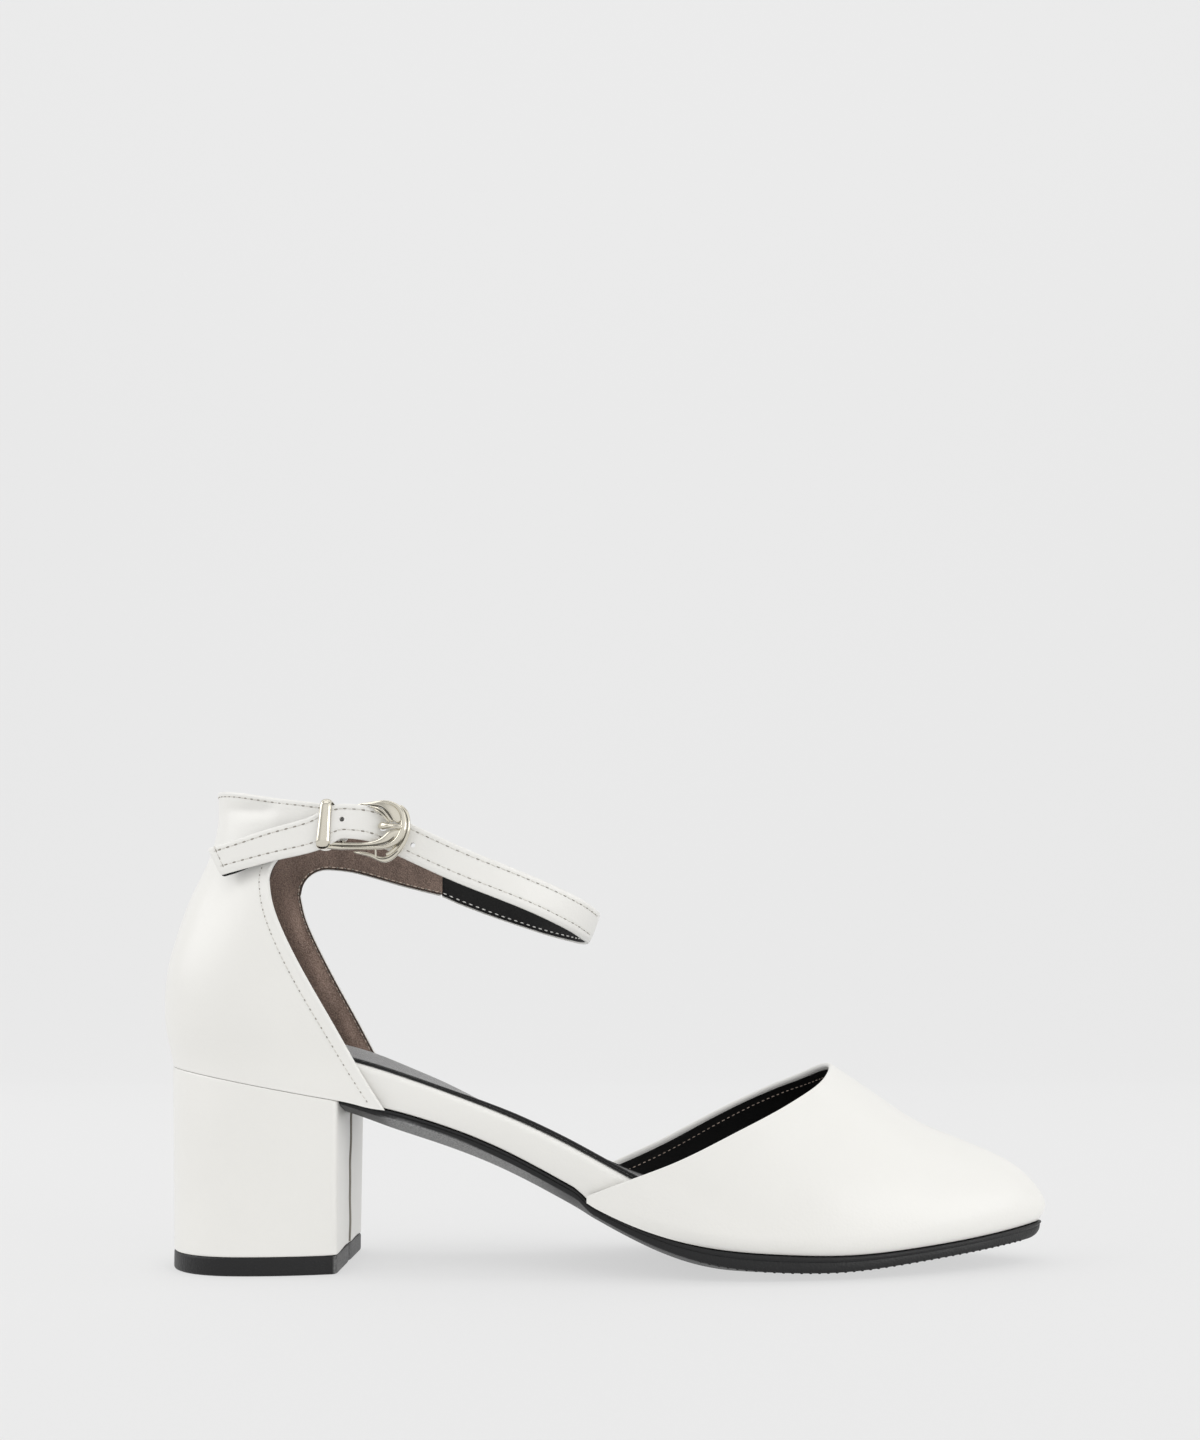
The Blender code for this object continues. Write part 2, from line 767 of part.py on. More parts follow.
def make_buckle_frame(parent, material):
    x, y, z = BUCKLE_BAR
    path = [Vector(point) for point in buckle_path()]
    sides = 8
    rings = []
    for place, here in enumerate(path):
        run = path[(place + 1) % len(path)] - path[place - 1]
        run.normalize()
        inwards = Vector((run.y, -run.x))
        nose = smoothstep(BUCKLE_LENGTH - BUCKLE_NOSE, BUCKLE_LENGTH, here.x)
        rail = smoothstep(0.2, 2.5, here.x)
        half_wide = mix(mix(BUCKLE_BAR_RADIUS, 0.8, rail), 1.7, nose)
        half_deep = mix(BUCKLE_BAR_RADIUS, 0.9, rail)
        centre = here + inwards * 0.9 * nose
        ring = []
        for side in range(sides):
            turn = 2.0 * math.pi * (side + 0.5) / sides
            flat = centre + inwards * half_wide * math.cos(turn)
            depth = half_deep * math.sin(turn) - buckle_rise(flat.x)
            ring.append((x + flat.x, y + depth, z + flat.y))
        rings.append(ring)
    add_object("buckle_frame", loft("buckle_frame", rings, joined=True), material, parent)


def make_prong(parent, material):
    x, y = BUCKLE_BAR[:2]
    z = PRONG_HOLE[2]
    wrap = BUCKLE_BAR_RADIUS + GAP + PRONG_RADIUS
    route = []
    for angle in spread(-100.0, -330.0, 10):
        turn = math.radians(angle)
        route.append((x + wrap * math.cos(turn), y + wrap * math.sin(turn)))
    route += PRONG_ROUTE
    curve = bpy.data.curves.new("buckle_prong", "CURVE")
    curve.dimensions = "3D"
    curve.bevel_depth = PRONG_RADIUS * MM
    curve.bevel_resolution = 2
    curve.use_fill_caps = True
    spline = curve.splines.new("POLY")
    spline.points.add(len(route) - 1)
    for point, (along, aside) in zip(spline.points, route):
        point.co = ((along - SHOE_LENGTH / 2.0) * MM, aside * MM, z * MM, 1.0)
    add_object("buckle_prong", curve, material, parent)


def make_keeper(parent, material):
    """Loop round the outer ear and the strap, walls turned out from its opening."""
    y_low, y_high = KEEPER_Y
    z_low, z_high = KEEPER_Z
    loop = []
    corners = ((y_high, z_high, 0.0), (y_low, z_high, 90.0), (y_low, z_low, 180.0), (y_high, z_low, 270.0))
    for y, z, start in corners:
        y_round = y - math.copysign(KEEPER_CORNER, y - sum(KEEPER_Y) / 2.0)
        z_round = z - math.copysign(KEEPER_CORNER, z - sum(KEEPER_Z) / 2.0)
        for angle in (0.0, 30.0, 60.0, 90.0):
            turn = math.radians(start + angle)
            loop.append((y_round + KEEPER_CORNER * math.cos(turn), z_round + KEEPER_CORNER * math.sin(turn)))
    points = [(x, y, z) for x in KEEPER_X for y, z in loop]
    count = len(loop)
    faces = [(place, (place + 1) % count, count + (place + 1) % count, count + place) for place in range(count)]
    piece = add_object("strap_keeper", mesh_from("strap_keeper", points, faces), material, parent)
    add_wall(piece, KEEPER_WALL)
    piece.modifiers["wall"].offset = 1.0


def main():
    for old in list(bpy.data.objects):
        bpy.data.objects.remove(old, do_unlink=True)
    bpy.context.scene.collection.children.link(PARTS)
    bpy.context.scene.collection.children.link(CUTTERS)
    shoe = bpy.data.objects.new("ankle_strap_pump_origin", None)
    PARTS.objects.link(shoe)

    make_outsole(shoe, make_material("sole_black", (0.012, 0.012, 0.013), 0.45))
    make_heel(
        shoe,
        make_material("heel_white", (0.80, 0.79, 0.76), 0.32),
        make_material("top_lift_black", (0.012, 0.012, 0.013), 0.4),
    )
    make_footbed(shoe, make_material("footbed_white", (0.80, 0.79, 0.76), 0.34))
    make_sock(shoe, make_material("sock_black", (0.02, 0.02, 0.02), 0.6))
    make_vamp(shoe, make_material("vamp_white", (0.80, 0.79, 0.76), 0.34))
    make_counter(shoe, make_material("counter_white", (0.80, 0.79, 0.76), 0.34))
    make_strap(shoe, make_material("strap_white", (0.80, 0.79, 0.76), 0.34))
    make_buckle_frame(shoe, make_material("buckle_nickel", (0.75, 0.72, 0.67), 0.15, 1.0))
    make_prong(shoe, make_material("prong_nickel", (0.75, 0.72, 0.67), 0.15, 1.0))
    make_keeper(shoe, make_material("keeper_nickel", (0.75, 0.72, 0.67), 0.15, 1.0))


PARTS = bpy.data.collections.new("ankle_strap_pump")
CUTTERS = bpy.data.collections.new("ankle_strap_pump_cutters")
main()
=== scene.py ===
import math

import bmesh
import bpy
import numpy as np
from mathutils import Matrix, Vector


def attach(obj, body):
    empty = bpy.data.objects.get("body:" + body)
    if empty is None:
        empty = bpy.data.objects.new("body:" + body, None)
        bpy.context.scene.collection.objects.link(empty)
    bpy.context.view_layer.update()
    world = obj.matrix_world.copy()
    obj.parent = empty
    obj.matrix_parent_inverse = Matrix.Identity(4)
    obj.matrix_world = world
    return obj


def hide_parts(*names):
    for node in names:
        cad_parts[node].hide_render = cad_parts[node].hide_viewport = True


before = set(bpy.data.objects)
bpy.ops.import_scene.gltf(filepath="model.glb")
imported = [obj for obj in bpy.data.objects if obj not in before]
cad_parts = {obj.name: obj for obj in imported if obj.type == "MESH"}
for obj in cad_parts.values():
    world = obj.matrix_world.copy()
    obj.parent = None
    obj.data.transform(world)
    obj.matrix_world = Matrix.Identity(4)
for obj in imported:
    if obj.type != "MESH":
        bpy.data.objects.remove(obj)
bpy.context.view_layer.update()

bl_info = {
    "name": "Ankle Strap Pump",
    "version": (1, 0, 0),
    "blender": (4, 5, 0),
    "location": "3D View > Sidebar > Pump",
    "description": "Dresses an ankle strap block heel pump: leather, linings, stitches, sole and buckle",
    "category": "Object",
}

# Lengths below are in millimetres, from the back of the heel, the middle line and the floor
MM = 0.001
OUTER = -1.0
INNER = 1.0
BODY = "root"

# Sizes that the solids share
SHOE_TIP = 252.8
SEAT_BACK = 2.6
GAP = 0.3
TOE_TURNS_IN = 3.0
TOE_TURN_START = 150.0
HEEL_BREAST = 53.3
HEEL_BACK_AT_FLOOR = 4.8
HEEL_FLOOR_HALF_WIDTH = 27.1
HEEL_FLOOR_BREAST_HALF_WIDTH = 23.2
HEEL_FLOOR_WIDEST = 29.0
HEEL_FLOOR_SQUARENESS = 2.3
TOP_LIFT_HEIGHT = 5.0
VAMP_REAR = 120.5
THROAT_CENTRE = 190.4
LASTING_STEP = 1.7
LASTING_STEP_FROM = VAMP_REAR - 4.0
LASTING_STEP_TO = VAMP_REAR + 1.0
LASTING_TUCK = 2.0
LASTING_TUCK_FULL = VAMP_REAR + 30.0
VAMP_BULGE_HEIGHT = 4.6
VAMP_BULGE_SHARE = 0.4
VAMP_ROUNDNESS = 2.1
FOOTBED_INSET = 2.3
OUTSOLE_WAIST_INSET = 2.5
OUTSOLE_TOE_INSET = 1.6
OUTSOLE_TOE_FROM = VAMP_REAR + 40.0
OUTSOLE_DOME_POWER = 2.0
SOCK_INSET = 1.4
SOCK_THICKNESS = 1.4
SOCK_FRONT = 236.0
EAR_ROOT = 33.5
EAR_ROOT_HEIGHT = 107.0
EAR_FILLET_LENGTH = 8.5
EAR_FILLET_RISE = 8.0
OUTER_EAR_END = 51.0
INNER_EAR_END = 76.2
STRAP_WIDTH = 9.5
STRAP_END_WIDTH = 8.3
STRAP_STOPS = 21.0
STRAP_TAPER_STOP = 18.0
BUCKLE_BAR = (54.0, -25.6, 121.1)
BUCKLE_RISE = 7.0
BUCKLE_LENGTH = 18.3

# Sizes of the finish
VAMP_WALL = 1.6
VAMP_LINING_DEPTH = 1.25
COUNTER_LEATHER = 1.2
LINING_THICKNESS = 0.5
LINING_EDGE_RADIUS = 0.2
LINING_LAP = 0.02
COUNTER_LINING_INSET = 0.3
TURNED_EDGE = 1.5
VAMP_EDGE_RADIUS = 0.45
EDGE_FLAT = 0.1
TOP_SEAM_INSET = 1.35
FRONT_SEAM_INSET = 2.3
FRONT_SEAM_SWELL = 1.1
FRONT_SEAM_MIDDLE = 78.0
FRONT_SEAM_REACH = 30.0
SEAM_DEPTH = 0.06
SEAM_HALF_WIDTH = 0.36
SEAT_SEAM = 0.07
HEEL_CORNER_RADIUS = 1.6
END_MARGIN = 0.02
SMOOTH_ANGLE = 42.0
LEAST_SPAN = 1e-9
LEAST_WIDTH = 1e-6
TURN_NUDGE = 0.004
SLOPE_NUDGE = 0.3


def plain(value):
    """Distance as it is."""
    return value


def from_both_ends(x):
    """Angle that opens quickly at the heel and at the toe, so that round ends become smooth rows."""
    share = (x - SEAT_BACK) / (SHOE_TIP - SEAT_BACK)
    return math.acos(1.0 - 2.0 * min(max(share, 0.0), 1.0))


def from_tip(x):
    """Root of the distance to the toe tip, in which the round toe profile is a smooth row."""
    return math.sqrt(max(SHOE_TIP - x, 0.0))


class Table:
    """Short table with named columns, read between its rows along a natural cubic."""

    def __init__(self, columns, rows, along=plain):
        names = columns.split()
        ordered = sorted(rows, key=lambda row: along(row[0]))
        self.along = along
        self.knots = np.array([along(row[0]) for row in ordered])
        self.values = {}
        self.bends = {}
        for place, name in enumerate(names[1:], start=1):
            heights = np.array([row[place] for row in ordered])
            self.values[name] = heights
            self.bends[name] = self.second_slopes(heights)

    def second_slopes(self, heights):
        count = len(heights)
        steps = np.diff(self.knots)
        matrix = np.eye(count)
        right = np.zeros(count)
        for row in range(1, count - 1):
            before = steps[row - 1]
            after = steps[row]
            matrix[row, row - 1] = before
            matrix[row, row] = 2.0 * (before + after)
            matrix[row, row + 1] = after
            rise_after = (heights[row + 1] - heights[row]) / after
            rise_before = (heights[row] - heights[row - 1]) / before
            right[row] = 6.0 * (rise_after - rise_before)
        return np.linalg.solve(matrix, right)

    def read(self, name, at):
        knots = self.knots
        place = min(max(self.along(at), knots[0]), knots[-1])
        right = int(min(max(np.searchsorted(knots, place), 1), len(knots) - 1))
        left = right - 1
        step = knots[right] - knots[left]
        ahead = (knots[right] - place) / step
        behind = (place - knots[left]) / step
        heights = self.values[name]
        bends = self.bends[name]
        curve = (ahead ** 3 - ahead) * bends[left] + (behind ** 3 - behind) * bends[right]
        return float(ahead * heights[left] + behind * heights[right] + curve * step * step / 6.0)


# Plan of the upper at its widest line, half widths to the outer and the inner side
PLAN = Table("x outer inner", [
    (2.6, 0.0, 0.0),
    (5.5, 10.4, 10.4),
    (12.0, 17.8, 17.8),
    (24.0, 23.9, 23.9),
    (38.0, 26.5, 26.4),
    (54.0, 26.3, 25.9),
    (75.0, 25.0, 23.5),
    (95.0, 25.4, 22.8),
    (115.0, 29.2, 26.0),
    (135.0, 35.0, 32.2),
    (157.0, 38.3, 37.3),
    (172.0, 38.0, 38.4),
    (190.0, 35.4, 36.6),
    (210.0, 29.0, 30.0),
    (228.0, 20.9, 21.2),
    (241.0, 12.8, 12.8),
    (249.0, 6.2, 6.2),
    (252.8, 0.0, 0.0),
], from_both_ends)

# Side view of the sole: seat of the upper, edge thickness, and underside along the middle
SOLE = Table("x seat edge middle", [
    (0.0, 56.2, 0.8, 52.0),
    (27.0, 51.35, 0.8, 47.2),
    (53.6, 46.6, 0.8, 42.4),
    (66.0, 44.2, 2.3, 38.0),
    (77.0, 41.1, 2.4, 34.3),
    (95.0, 34.3, 2.4, 27.4),
    (113.0, 25.2, 2.4, 18.2),
    (130.0, 16.7, 2.7, 8.9),
    (145.0, 11.8, 3.5, 2.4),
    (156.0, 9.9, 4.1, -0.2),
    (172.0, 8.6, 4.4, -0.4),
    (188.0, 8.0, 4.1, -0.2),
    (212.0, 9.1, 3.5, 1.9),
    (231.0, 10.8, 3.5, 4.2),
    (252.8, 13.2, 3.9, 7.2),
])

# Top of the wrapped footbed at its outer edge, and how much lower its inner edge lies
FOOTBED = Table("x top roll", [
    (2.0, 66.6, 0.0),
    (30.0, 62.0, 0.0),
    (58.0, 56.9, 0.8),
    (69.0, 53.5, 1.8),
    (84.0, 48.1, 3.0),
    (104.0, 39.9, 4.0),
    (116.0, 34.1, 4.1),
    (132.5, 25.4, 3.3),
    (145.0, 19.8, 1.8),
    (160.0, 15.4, 0.4),
    (180.0, 12.7, 0.0),
    (200.0, 11.9, 0.0),
    (220.0, 12.9, 0.0),
    (252.8, 15.8, 0.0),
])

# Ridge of the vamp, carried on above the throat so that the side walls keep their lean
CROWN = Table("x height", [
    (120.5, 94.0),
    (172.8, 67.6),
    (190.4, 56.6),
    (204.2, 47.3),
    (214.3, 40.6),
    (222.5, 36.9),
    (230.1, 33.9),
    (237.0, 31.0),
    (242.1, 28.4),
    (246.9, 24.8),
    (250.4, 20.8),
    (252.8, 15.7),
], from_tip)

# Edge of the throat, seen from the side
THROAT = Table("x outer inner", [
    (120.5, 21.7, 21.7),
    (131.0, 26.0, 26.5),
    (143.7, 31.0, 32.1),
    (160.0, 38.9, 40.6),
    (172.0, 44.7, 46.7),
    (180.0, 48.9, 50.6),
    (186.0, 52.6, 53.6),
    (190.4, 56.6, 56.6),
])

# Back upper by height: back line, girth against the seat plan, splay towards the front
COUNTER = Table("z back girth splay", [
    (43.0, 3.2, 1.0, 0.0),
    (50.0, 3.1, 1.0, 0.0),
    (56.0, 2.6, 1.0, 0.0),
    (66.0, 0.5, 1.035, 0.0),
    (74.0, 0.0, 1.055, 0.0),
    (84.0, 0.8, 1.055, 0.0004),
    (91.0, 2.5, 1.045, 0.001),
    (98.0, 4.6, 1.02, 0.002),
    (104.0, 6.8, 0.995, 0.003),
    (110.0, 9.6, 0.965, 0.004),
    (118.0, 12.8, 0.945, 0.0045),
    (126.0, 14.2, 0.93, 0.0045),
    (135.0, 13.8, 0.92, 0.0045),
])

# Front edge of the back upper by height
COUNTER_FRONT = Table("z front", [
    (43.7, 66.3),
    (52.4, 60.7),
    (66.6, 52.6),
    (84.8, 42.2),
    (94.0, 37.5),
    (101.0, 34.7),
    (107.0, 33.5),
])

# Top edge of the back upper and lower edge of its ears
TOPLINE = Table("x outer inner", [
    (14.0, 134.3, 134.3),
    (24.0, 132.2, 132.2),
    (33.5, 130.0, 130.0),
    (42.0, 128.6, 128.6),
    (48.0, 127.6, 127.2),
    (55.0, 126.8, 124.9),
    (65.0, 126.8, 120.7),
    (76.0, 126.8, 116.6),
])
EAR_LOW = Table("x outer inner", [
    (33.5, 115.0, 115.0),
    (42.0, 115.2, 114.9),
    (48.4, 115.3, 114.3),
    (55.0, 115.2, 112.7),
    (65.0, 115.2, 109.8),
    (76.0, 115.2, 107.0),
])

# Middle line of the strap, from the inner ear round the front to the free end
STRAP_ROUTE = Table("stop x y z", [
    (0, 76.6, 27.8, 111.6),
    (1, 86.0, 27.5, 108.0),
    (2, 95.4, 26.0, 104.4),
    (3, 104.9, 22.9, 101.0),
    (4, 112.0, 19.1, 98.5),
    (5, 118.0, 14.2, 96.6),
    (6, 121.3, 7.8, 95.5),
    (7, 122.6, 0.0, 95.3),
    (8, 121.3, -7.8, 95.8),
    (9, 118.0, -14.2, 97.6),
    (10, 112.0, -19.1, 100.3),
    (11, 104.9, -22.9, 103.2),
    (12, 95.4, -26.0, 106.8),
    (13, 86.0, -27.2, 110.5),
    (14, 76.5, -27.3, 114.8),
    (15, 69.0, -27.2, 118.4),
    (16, 63.0, -28.8, 121.1),
    (17, 56.5, -29.6, 122.1),
    (17.5, 52.6, -29.05, 121.85),
    (18, 48.5, -28.2, 119.8),
    (19, 38.0, -26.5, 116.9),
    (20, 28.0, -24.6, 114.4),
    (21, 18.3, -22.2, 111.9),
])


def smoothstep(low, high, at):
    share = min(max((at - low) / (high - low), 0.0), 1.0)
    return share * share * (3.0 - 2.0 * share)


def mix(first, second, share):
    return first + (second - first) * share


def spread(first, last, count):
    """Evenly spaced values, both ends included."""
    return [mix(first, last, step / (count - 1)) for step in range(count)]


def bump_at(distance, half_width):
    """Soft bell that is 1 in the middle and fades over its half width."""
    return np.exp(-(np.asarray(distance) / half_width) ** 2)


def side_name(side):
    return "outer" if side < 0.0 else "inner"


def half_width(x, side):
    return PLAN.read(side_name(side), x)


def toe_axis(x):
    """The pointed toe turns in towards the inner side."""
    return TOE_TURNS_IN * smoothstep(TOE_TURN_START, SHOE_TIP, x)


def plan_point(turn, side):
    """Point of the plan at an angle from the heel, 0, to the toe, pi. Past an end it mirrors."""
    x = SEAT_BACK + (SHOE_TIP - SEAT_BACK) * (1.0 - math.cos(turn)) / 2.0
    sign = -1.0 if turn < 0.0 or turn > math.pi else 1.0
    return Vector((x, toe_axis(x) + sign * side * half_width(x, side)))


def outline(turn, side, inset):
    """Plan point moved inwards, square to the plan."""
    run = plan_point(turn + TURN_NUDGE, side) - plan_point(turn - TURN_NUDGE, side)
    run.normalize()
    return plan_point(turn, side) + Vector((run.y, -run.x)) * side * inset


def turns(x_from, x_to, count):
    """Angles of the sections between two places on the shoe's length."""
    return spread(from_both_ends(x_from), from_both_ends(x_to), count)


def length_at(turn):
    return plan_point(turn, OUTER).x


def under_upper(x):
    """Line on which upper and footbed sit: the seat, one lasting margin lower under the vamp."""
    return SOLE.read("seat", x) - LASTING_STEP * smoothstep(LASTING_STEP_FROM, LASTING_STEP_TO, x)


def lasting_tuck(x):
    """How far the vamp's lower edge tucks in under its widest line."""
    return LASTING_TUCK * smoothstep(VAMP_REAR, LASTING_TUCK_FULL, x)


def footbed_inset(x):
    return FOOTBED_INSET + lasting_tuck(x)


def outsole_inset(x):
    return mix(OUTSOLE_WAIST_INSET, OUTSOLE_TOE_INSET, smoothstep(VAMP_REAR, OUTSOLE_TOE_FROM, x))


def footbed_top(x, side):
    return FOOTBED.read("top", x) - (FOOTBED.read("roll", x) if side > 0.0 else 0.0)


def shoe_place(points):
    """Shoe millimetres as metres in the frame that the solids use."""
    places = np.array(points, float) * MM
    places[:, 0] -= SHOE_TIP / 2.0 * MM
    return places


def new_mesh(name, points, faces, edges=()):
    mesh = bpy.data.meshes.new(name)
    mesh.from_pydata(shoe_place(points).tolist(), list(edges), list(faces))
    mesh.update()
    return mesh


def turn_outwards(mesh):
    shape = bmesh.new()
    shape.from_mesh(mesh)
    bmesh.ops.recalc_face_normals(shape, faces=shape.faces)
    shape.to_mesh(mesh)
    shape.free()


def shade(mesh, angle=SMOOTH_ANGLE):
    mesh.shade_smooth()
    mesh.set_sharp_from_angle(angle=math.radians(angle))


def mark(mesh, name, values):
    """Gives every point of a mesh a number that its material reads."""
    mesh.attributes.new(name, "FLOAT", "POINT").data.foreach_set("value", values)


def add_object(name, data):
    """Object in the scene for a mesh, a light or a camera."""
    thing = bpy.data.objects.new(name, data)
    bpy.context.scene.collection.objects.link(thing)
    return thing


def dress(name, mesh, material, node=None):
    """Finished piece that rides on the shoe, in place of a solid where one is named."""
    piece = add_object(name, mesh)
    mesh.materials.clear()
    mesh.materials.append(material)
    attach(piece, BODY)
    if node is not None:
        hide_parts(node)


def loft(name, rings, joined=False):
    """Closed solid through rings of equal count. A joined loft comes back to its first ring."""
    count = len(rings[0])
    points = [point for ring in rings for point in ring]
    faces = []
    last = len(rings) if joined else len(rings) - 1
    for row in range(last):
        start = row * count
        following = ((row + 1) % len(rings)) * count
        for place in range(count):
            beside = (place + 1) % count
            faces.append((start + place, start + beside, following + beside, following + place))
    if not joined:
        faces.append(tuple(range(count)))
        faces.append(tuple(reversed(range(len(points) - count, len(points)))))
    mesh = new_mesh(name, points, faces)
    turn_outwards(mesh)
    shade(mesh)
    return mesh


def grid_faces(numbers):
    """Faces between neighbouring rows of point numbers, left out where a number is missing."""
    faces = []
    for low, high in zip(numbers[:-1], numbers[1:]):
        for place in range(len(low) - 1):
            face = (low[place], low[place + 1], high[place + 1], high[place])
            if None not in face:
                faces.append(face)
    return faces


def drawn_in(to_edge, reach, most):
    """How far a face draws in at a distance from the border, along a quarter of an ellipse."""
    near = np.clip(1.0 - np.asarray(to_edge) / reach, 0.0, 1.0)
    return most * (1.0 - np.sqrt(1.0 - near ** 2))


def outward_sheet(points, faces):
    """Directions out of a sheet's points, and its faces turned outwards."""
    sheet = new_mesh("sheet_guide", points, faces)
    turn_outwards(sheet)
    normals = np.array([vertex.normal for vertex in sheet.vertices])
    polygons = [tuple(polygon.vertices) for polygon in sheet.polygons]
    bpy.data.meshes.remove(sheet)
    return normals, polygons


def rounded_wall(name, points, faces, to_edge, thickness, radius, relief=0.0, depth=0.0, bevel=None):
    """Closed wall under a sheet: both faces draw together towards the border, so its edge is round.

    With a bevel the inner face starts to draw in at that distance from the border.
    """
    points = np.array(points, float)
    normals, polygons = outward_sheet(points, faces)
    top = np.asarray(relief) - depth - drawn_in(to_edge, radius, radius)
    bottom = drawn_in(to_edge, bevel or radius, thickness - radius - EDGE_FLAT) - depth - thickness
    outer = points + normals * top[:, None]
    inner = points + normals * bottom[:, None]
    count = len(points)
    borders = {}
    for polygon in polygons:
        for first, second in zip(polygon, polygon[1:] + polygon[:1]):
            borders.setdefault((min(first, second), max(first, second)), []).append((first, second))
    walls = list(polygons)
    walls += [tuple(count + number for number in reversed(polygon)) for polygon in polygons]
    for uses in borders.values():
        if len(uses) == 1:
            first, second = uses[0]
            walls.append((second, first, count + first, count + second))
    mesh = new_mesh(name, np.vstack((outer, inner)), walls)
    shade(mesh)
    return mesh


def distance_to_line(places, line):
    """Shortest distance from each place to a line of points, in the side view."""
    places = np.array(places, float)
    line = np.array(line, float)
    run = line[1:] - line[:-1]
    span = (run ** 2).sum(axis=1)
    nearest = np.full(len(places), np.inf)
    for start, step, length in zip(line[:-1], run, span):
        share = np.clip(((places - start) @ step) / max(length, LEAST_SPAN), 0.0, 1.0)
        gap = places - start - share[:, None] * step
        nearest = np.minimum(nearest, np.hypot(gap[:, 0], gap[:, 1]))
    return nearest


def inset_line(line, distance):
    """Line in the side view moved to its left, seen along its run."""
    line = np.array(line, float)
    run = np.gradient(line, axis=0)
    run /= np.linalg.norm(run, axis=1)[:, None]
    return line + np.column_stack((-run[:, 1], run[:, 0])) * distance


class Value:
    """Number, colour or vector socket of a node tree. Sums and products of numbers add maths nodes."""

    def __init__(self, nodes, socket):
        self.nodes = nodes
        self.socket = socket

    def __add__(self, other):
        return self.nodes.add("ShaderNodeMath", {"operation": "ADD"}, {0: self, 1: other})

    def __mul__(self, other):
        return self.nodes.add("ShaderNodeMath", {"operation": "MULTIPLY"}, {0: self, 1: other})


class Nodes:
    """Node tree that is filled one node at a time."""

    def __init__(self, tree):
        self.tree = tree

    def add(self, kind, settings=None, sockets=None, output=0):
        node = self.tree.nodes.new(kind)
        for name, value in (settings or {}).items():
            setattr(node, name, value)
        for name, value in (sockets or {}).items():
            self.feed(node.inputs[name], value)
        return Value(self, node.outputs[output]) if node.outputs else node

    def feed(self, socket, value):
        if isinstance(value, Value):
            self.tree.links.new(value.socket, socket)
        else:
            socket.default_value = value


class Finish:
    """Material with a principled shader, its object coordinates and a few helpers for patterns."""

    def __init__(self, name, **constants):
        self.material = bpy.data.materials.new(name)
        self.material.use_nodes = True
        self.nodes = Nodes(self.material.node_tree)
        self.shader = self.material.node_tree.nodes["Principled BSDF"]
        self.place = self.nodes.add("ShaderNodeTexCoord", output="Object")
        self.set(**constants)

    def noise(self, scale, detail, stretch=None):
        place = self.place
        if stretch:
            place = self.nodes.add("ShaderNodeMapping", None, {"Vector": place, "Scale": stretch})
        sockets = {"Vector": place, "Scale": scale, "Detail": detail}
        return self.nodes.add("ShaderNodeTexNoise", None, sockets)

    def cells(self, scale):
        return self.nodes.add("ShaderNodeTexVoronoi", None, {"Vector": self.place, "Scale": scale})

    def range(self, value, low, high, to_low=0.0, to_high=1.0):
        ends = {0: value, 1: low, 2: high, 3: to_low, 4: to_high}
        return self.nodes.add("ShaderNodeMapRange", None, ends)

    def blend(self, share, first, second):
        colours = {0: share, 6: first, 7: second}
        return self.nodes.add("ShaderNodeMix", {"data_type": "RGBA"}, colours, output=2)

    def bump(self, height, strength, distance):
        sockets = {"Height": height, "Strength": strength, "Distance": distance}
        return self.nodes.add("ShaderNodeBump", None, sockets)

    def set(self, **sockets):
        for socket, value in sockets.items():
            self.nodes.feed(self.shader.inputs[socket.replace("_", " ")], value)
        return self.material


# Materials

BLACK = (0.0, 0.0, 0.0, 1.0)
WHITE = (1.0, 1.0, 1.0, 1.0)
NAP_SHEEN = (0.75, 0.6, 0.5, 1.0)


def shade_of(name, factor):
    """Colour of the settings, made darker or lighter."""
    red, green, blue = getattr(bpy.context.scene.pump_colours, name)
    return (red * factor, green * factor, blue * factor, 1.0)


def known_material(name, make):
    return bpy.data.materials.get(name) or make(name)


def white_leather():
    """Smooth coated leather: hardly visible grain, a soft gloss that wanders, and faint warmth."""

    def make(name):
        finish = Finish(name, Coat_Roughness=0.22, Coat_IOR=1.45)
        wander = finish.noise(38.0, 3.0)
        grain = finish.noise(1500.0, 4.0)
        pores = finish.cells(1150.0)
        tone = finish.range(wander, 0.3, 0.7)
        height = grain * 0.6 + finish.range(pores, 0.0, 0.6) * 0.4
        return finish.set(
            Base_Color=finish.blend(tone, shade_of("leather", 0.985), shade_of("leather", 1.0)),
            Roughness=finish.range(wander + grain * 0.4, 0.4, 1.0, 0.34, 0.46),
            Coat_Weight=finish.range(wander, 0.3, 0.7, 0.16, 0.26),
            Normal=finish.bump(height, 0.10, 0.0004),
        )

    return known_material("white_coated_leather", make)


def black_lining(name="fine_black_lining", sheen=0.0):
    """Fine matte black leather for linings and, with a dusty sheen, for the sock."""

    def make(given):
        finish = Finish(given, Specular_IOR_Level=0.25, Sheen_Weight=sheen, Sheen_Roughness=0.35)
        grain = finish.noise(1700.0, 5.0)
        patch = finish.noise(120.0, 3.0)
        deep = shade_of("black_lining", 0.8)
        worn = shade_of("black_lining", 1.25)
        return finish.set(
            Base_Color=finish.blend(patch, deep, worn),
            Roughness=finish.range(grain, 0.3, 0.7, 0.5, 0.66),
            Normal=finish.bump(grain, 0.35, 0.0005),
        )

    return known_material(name, make)


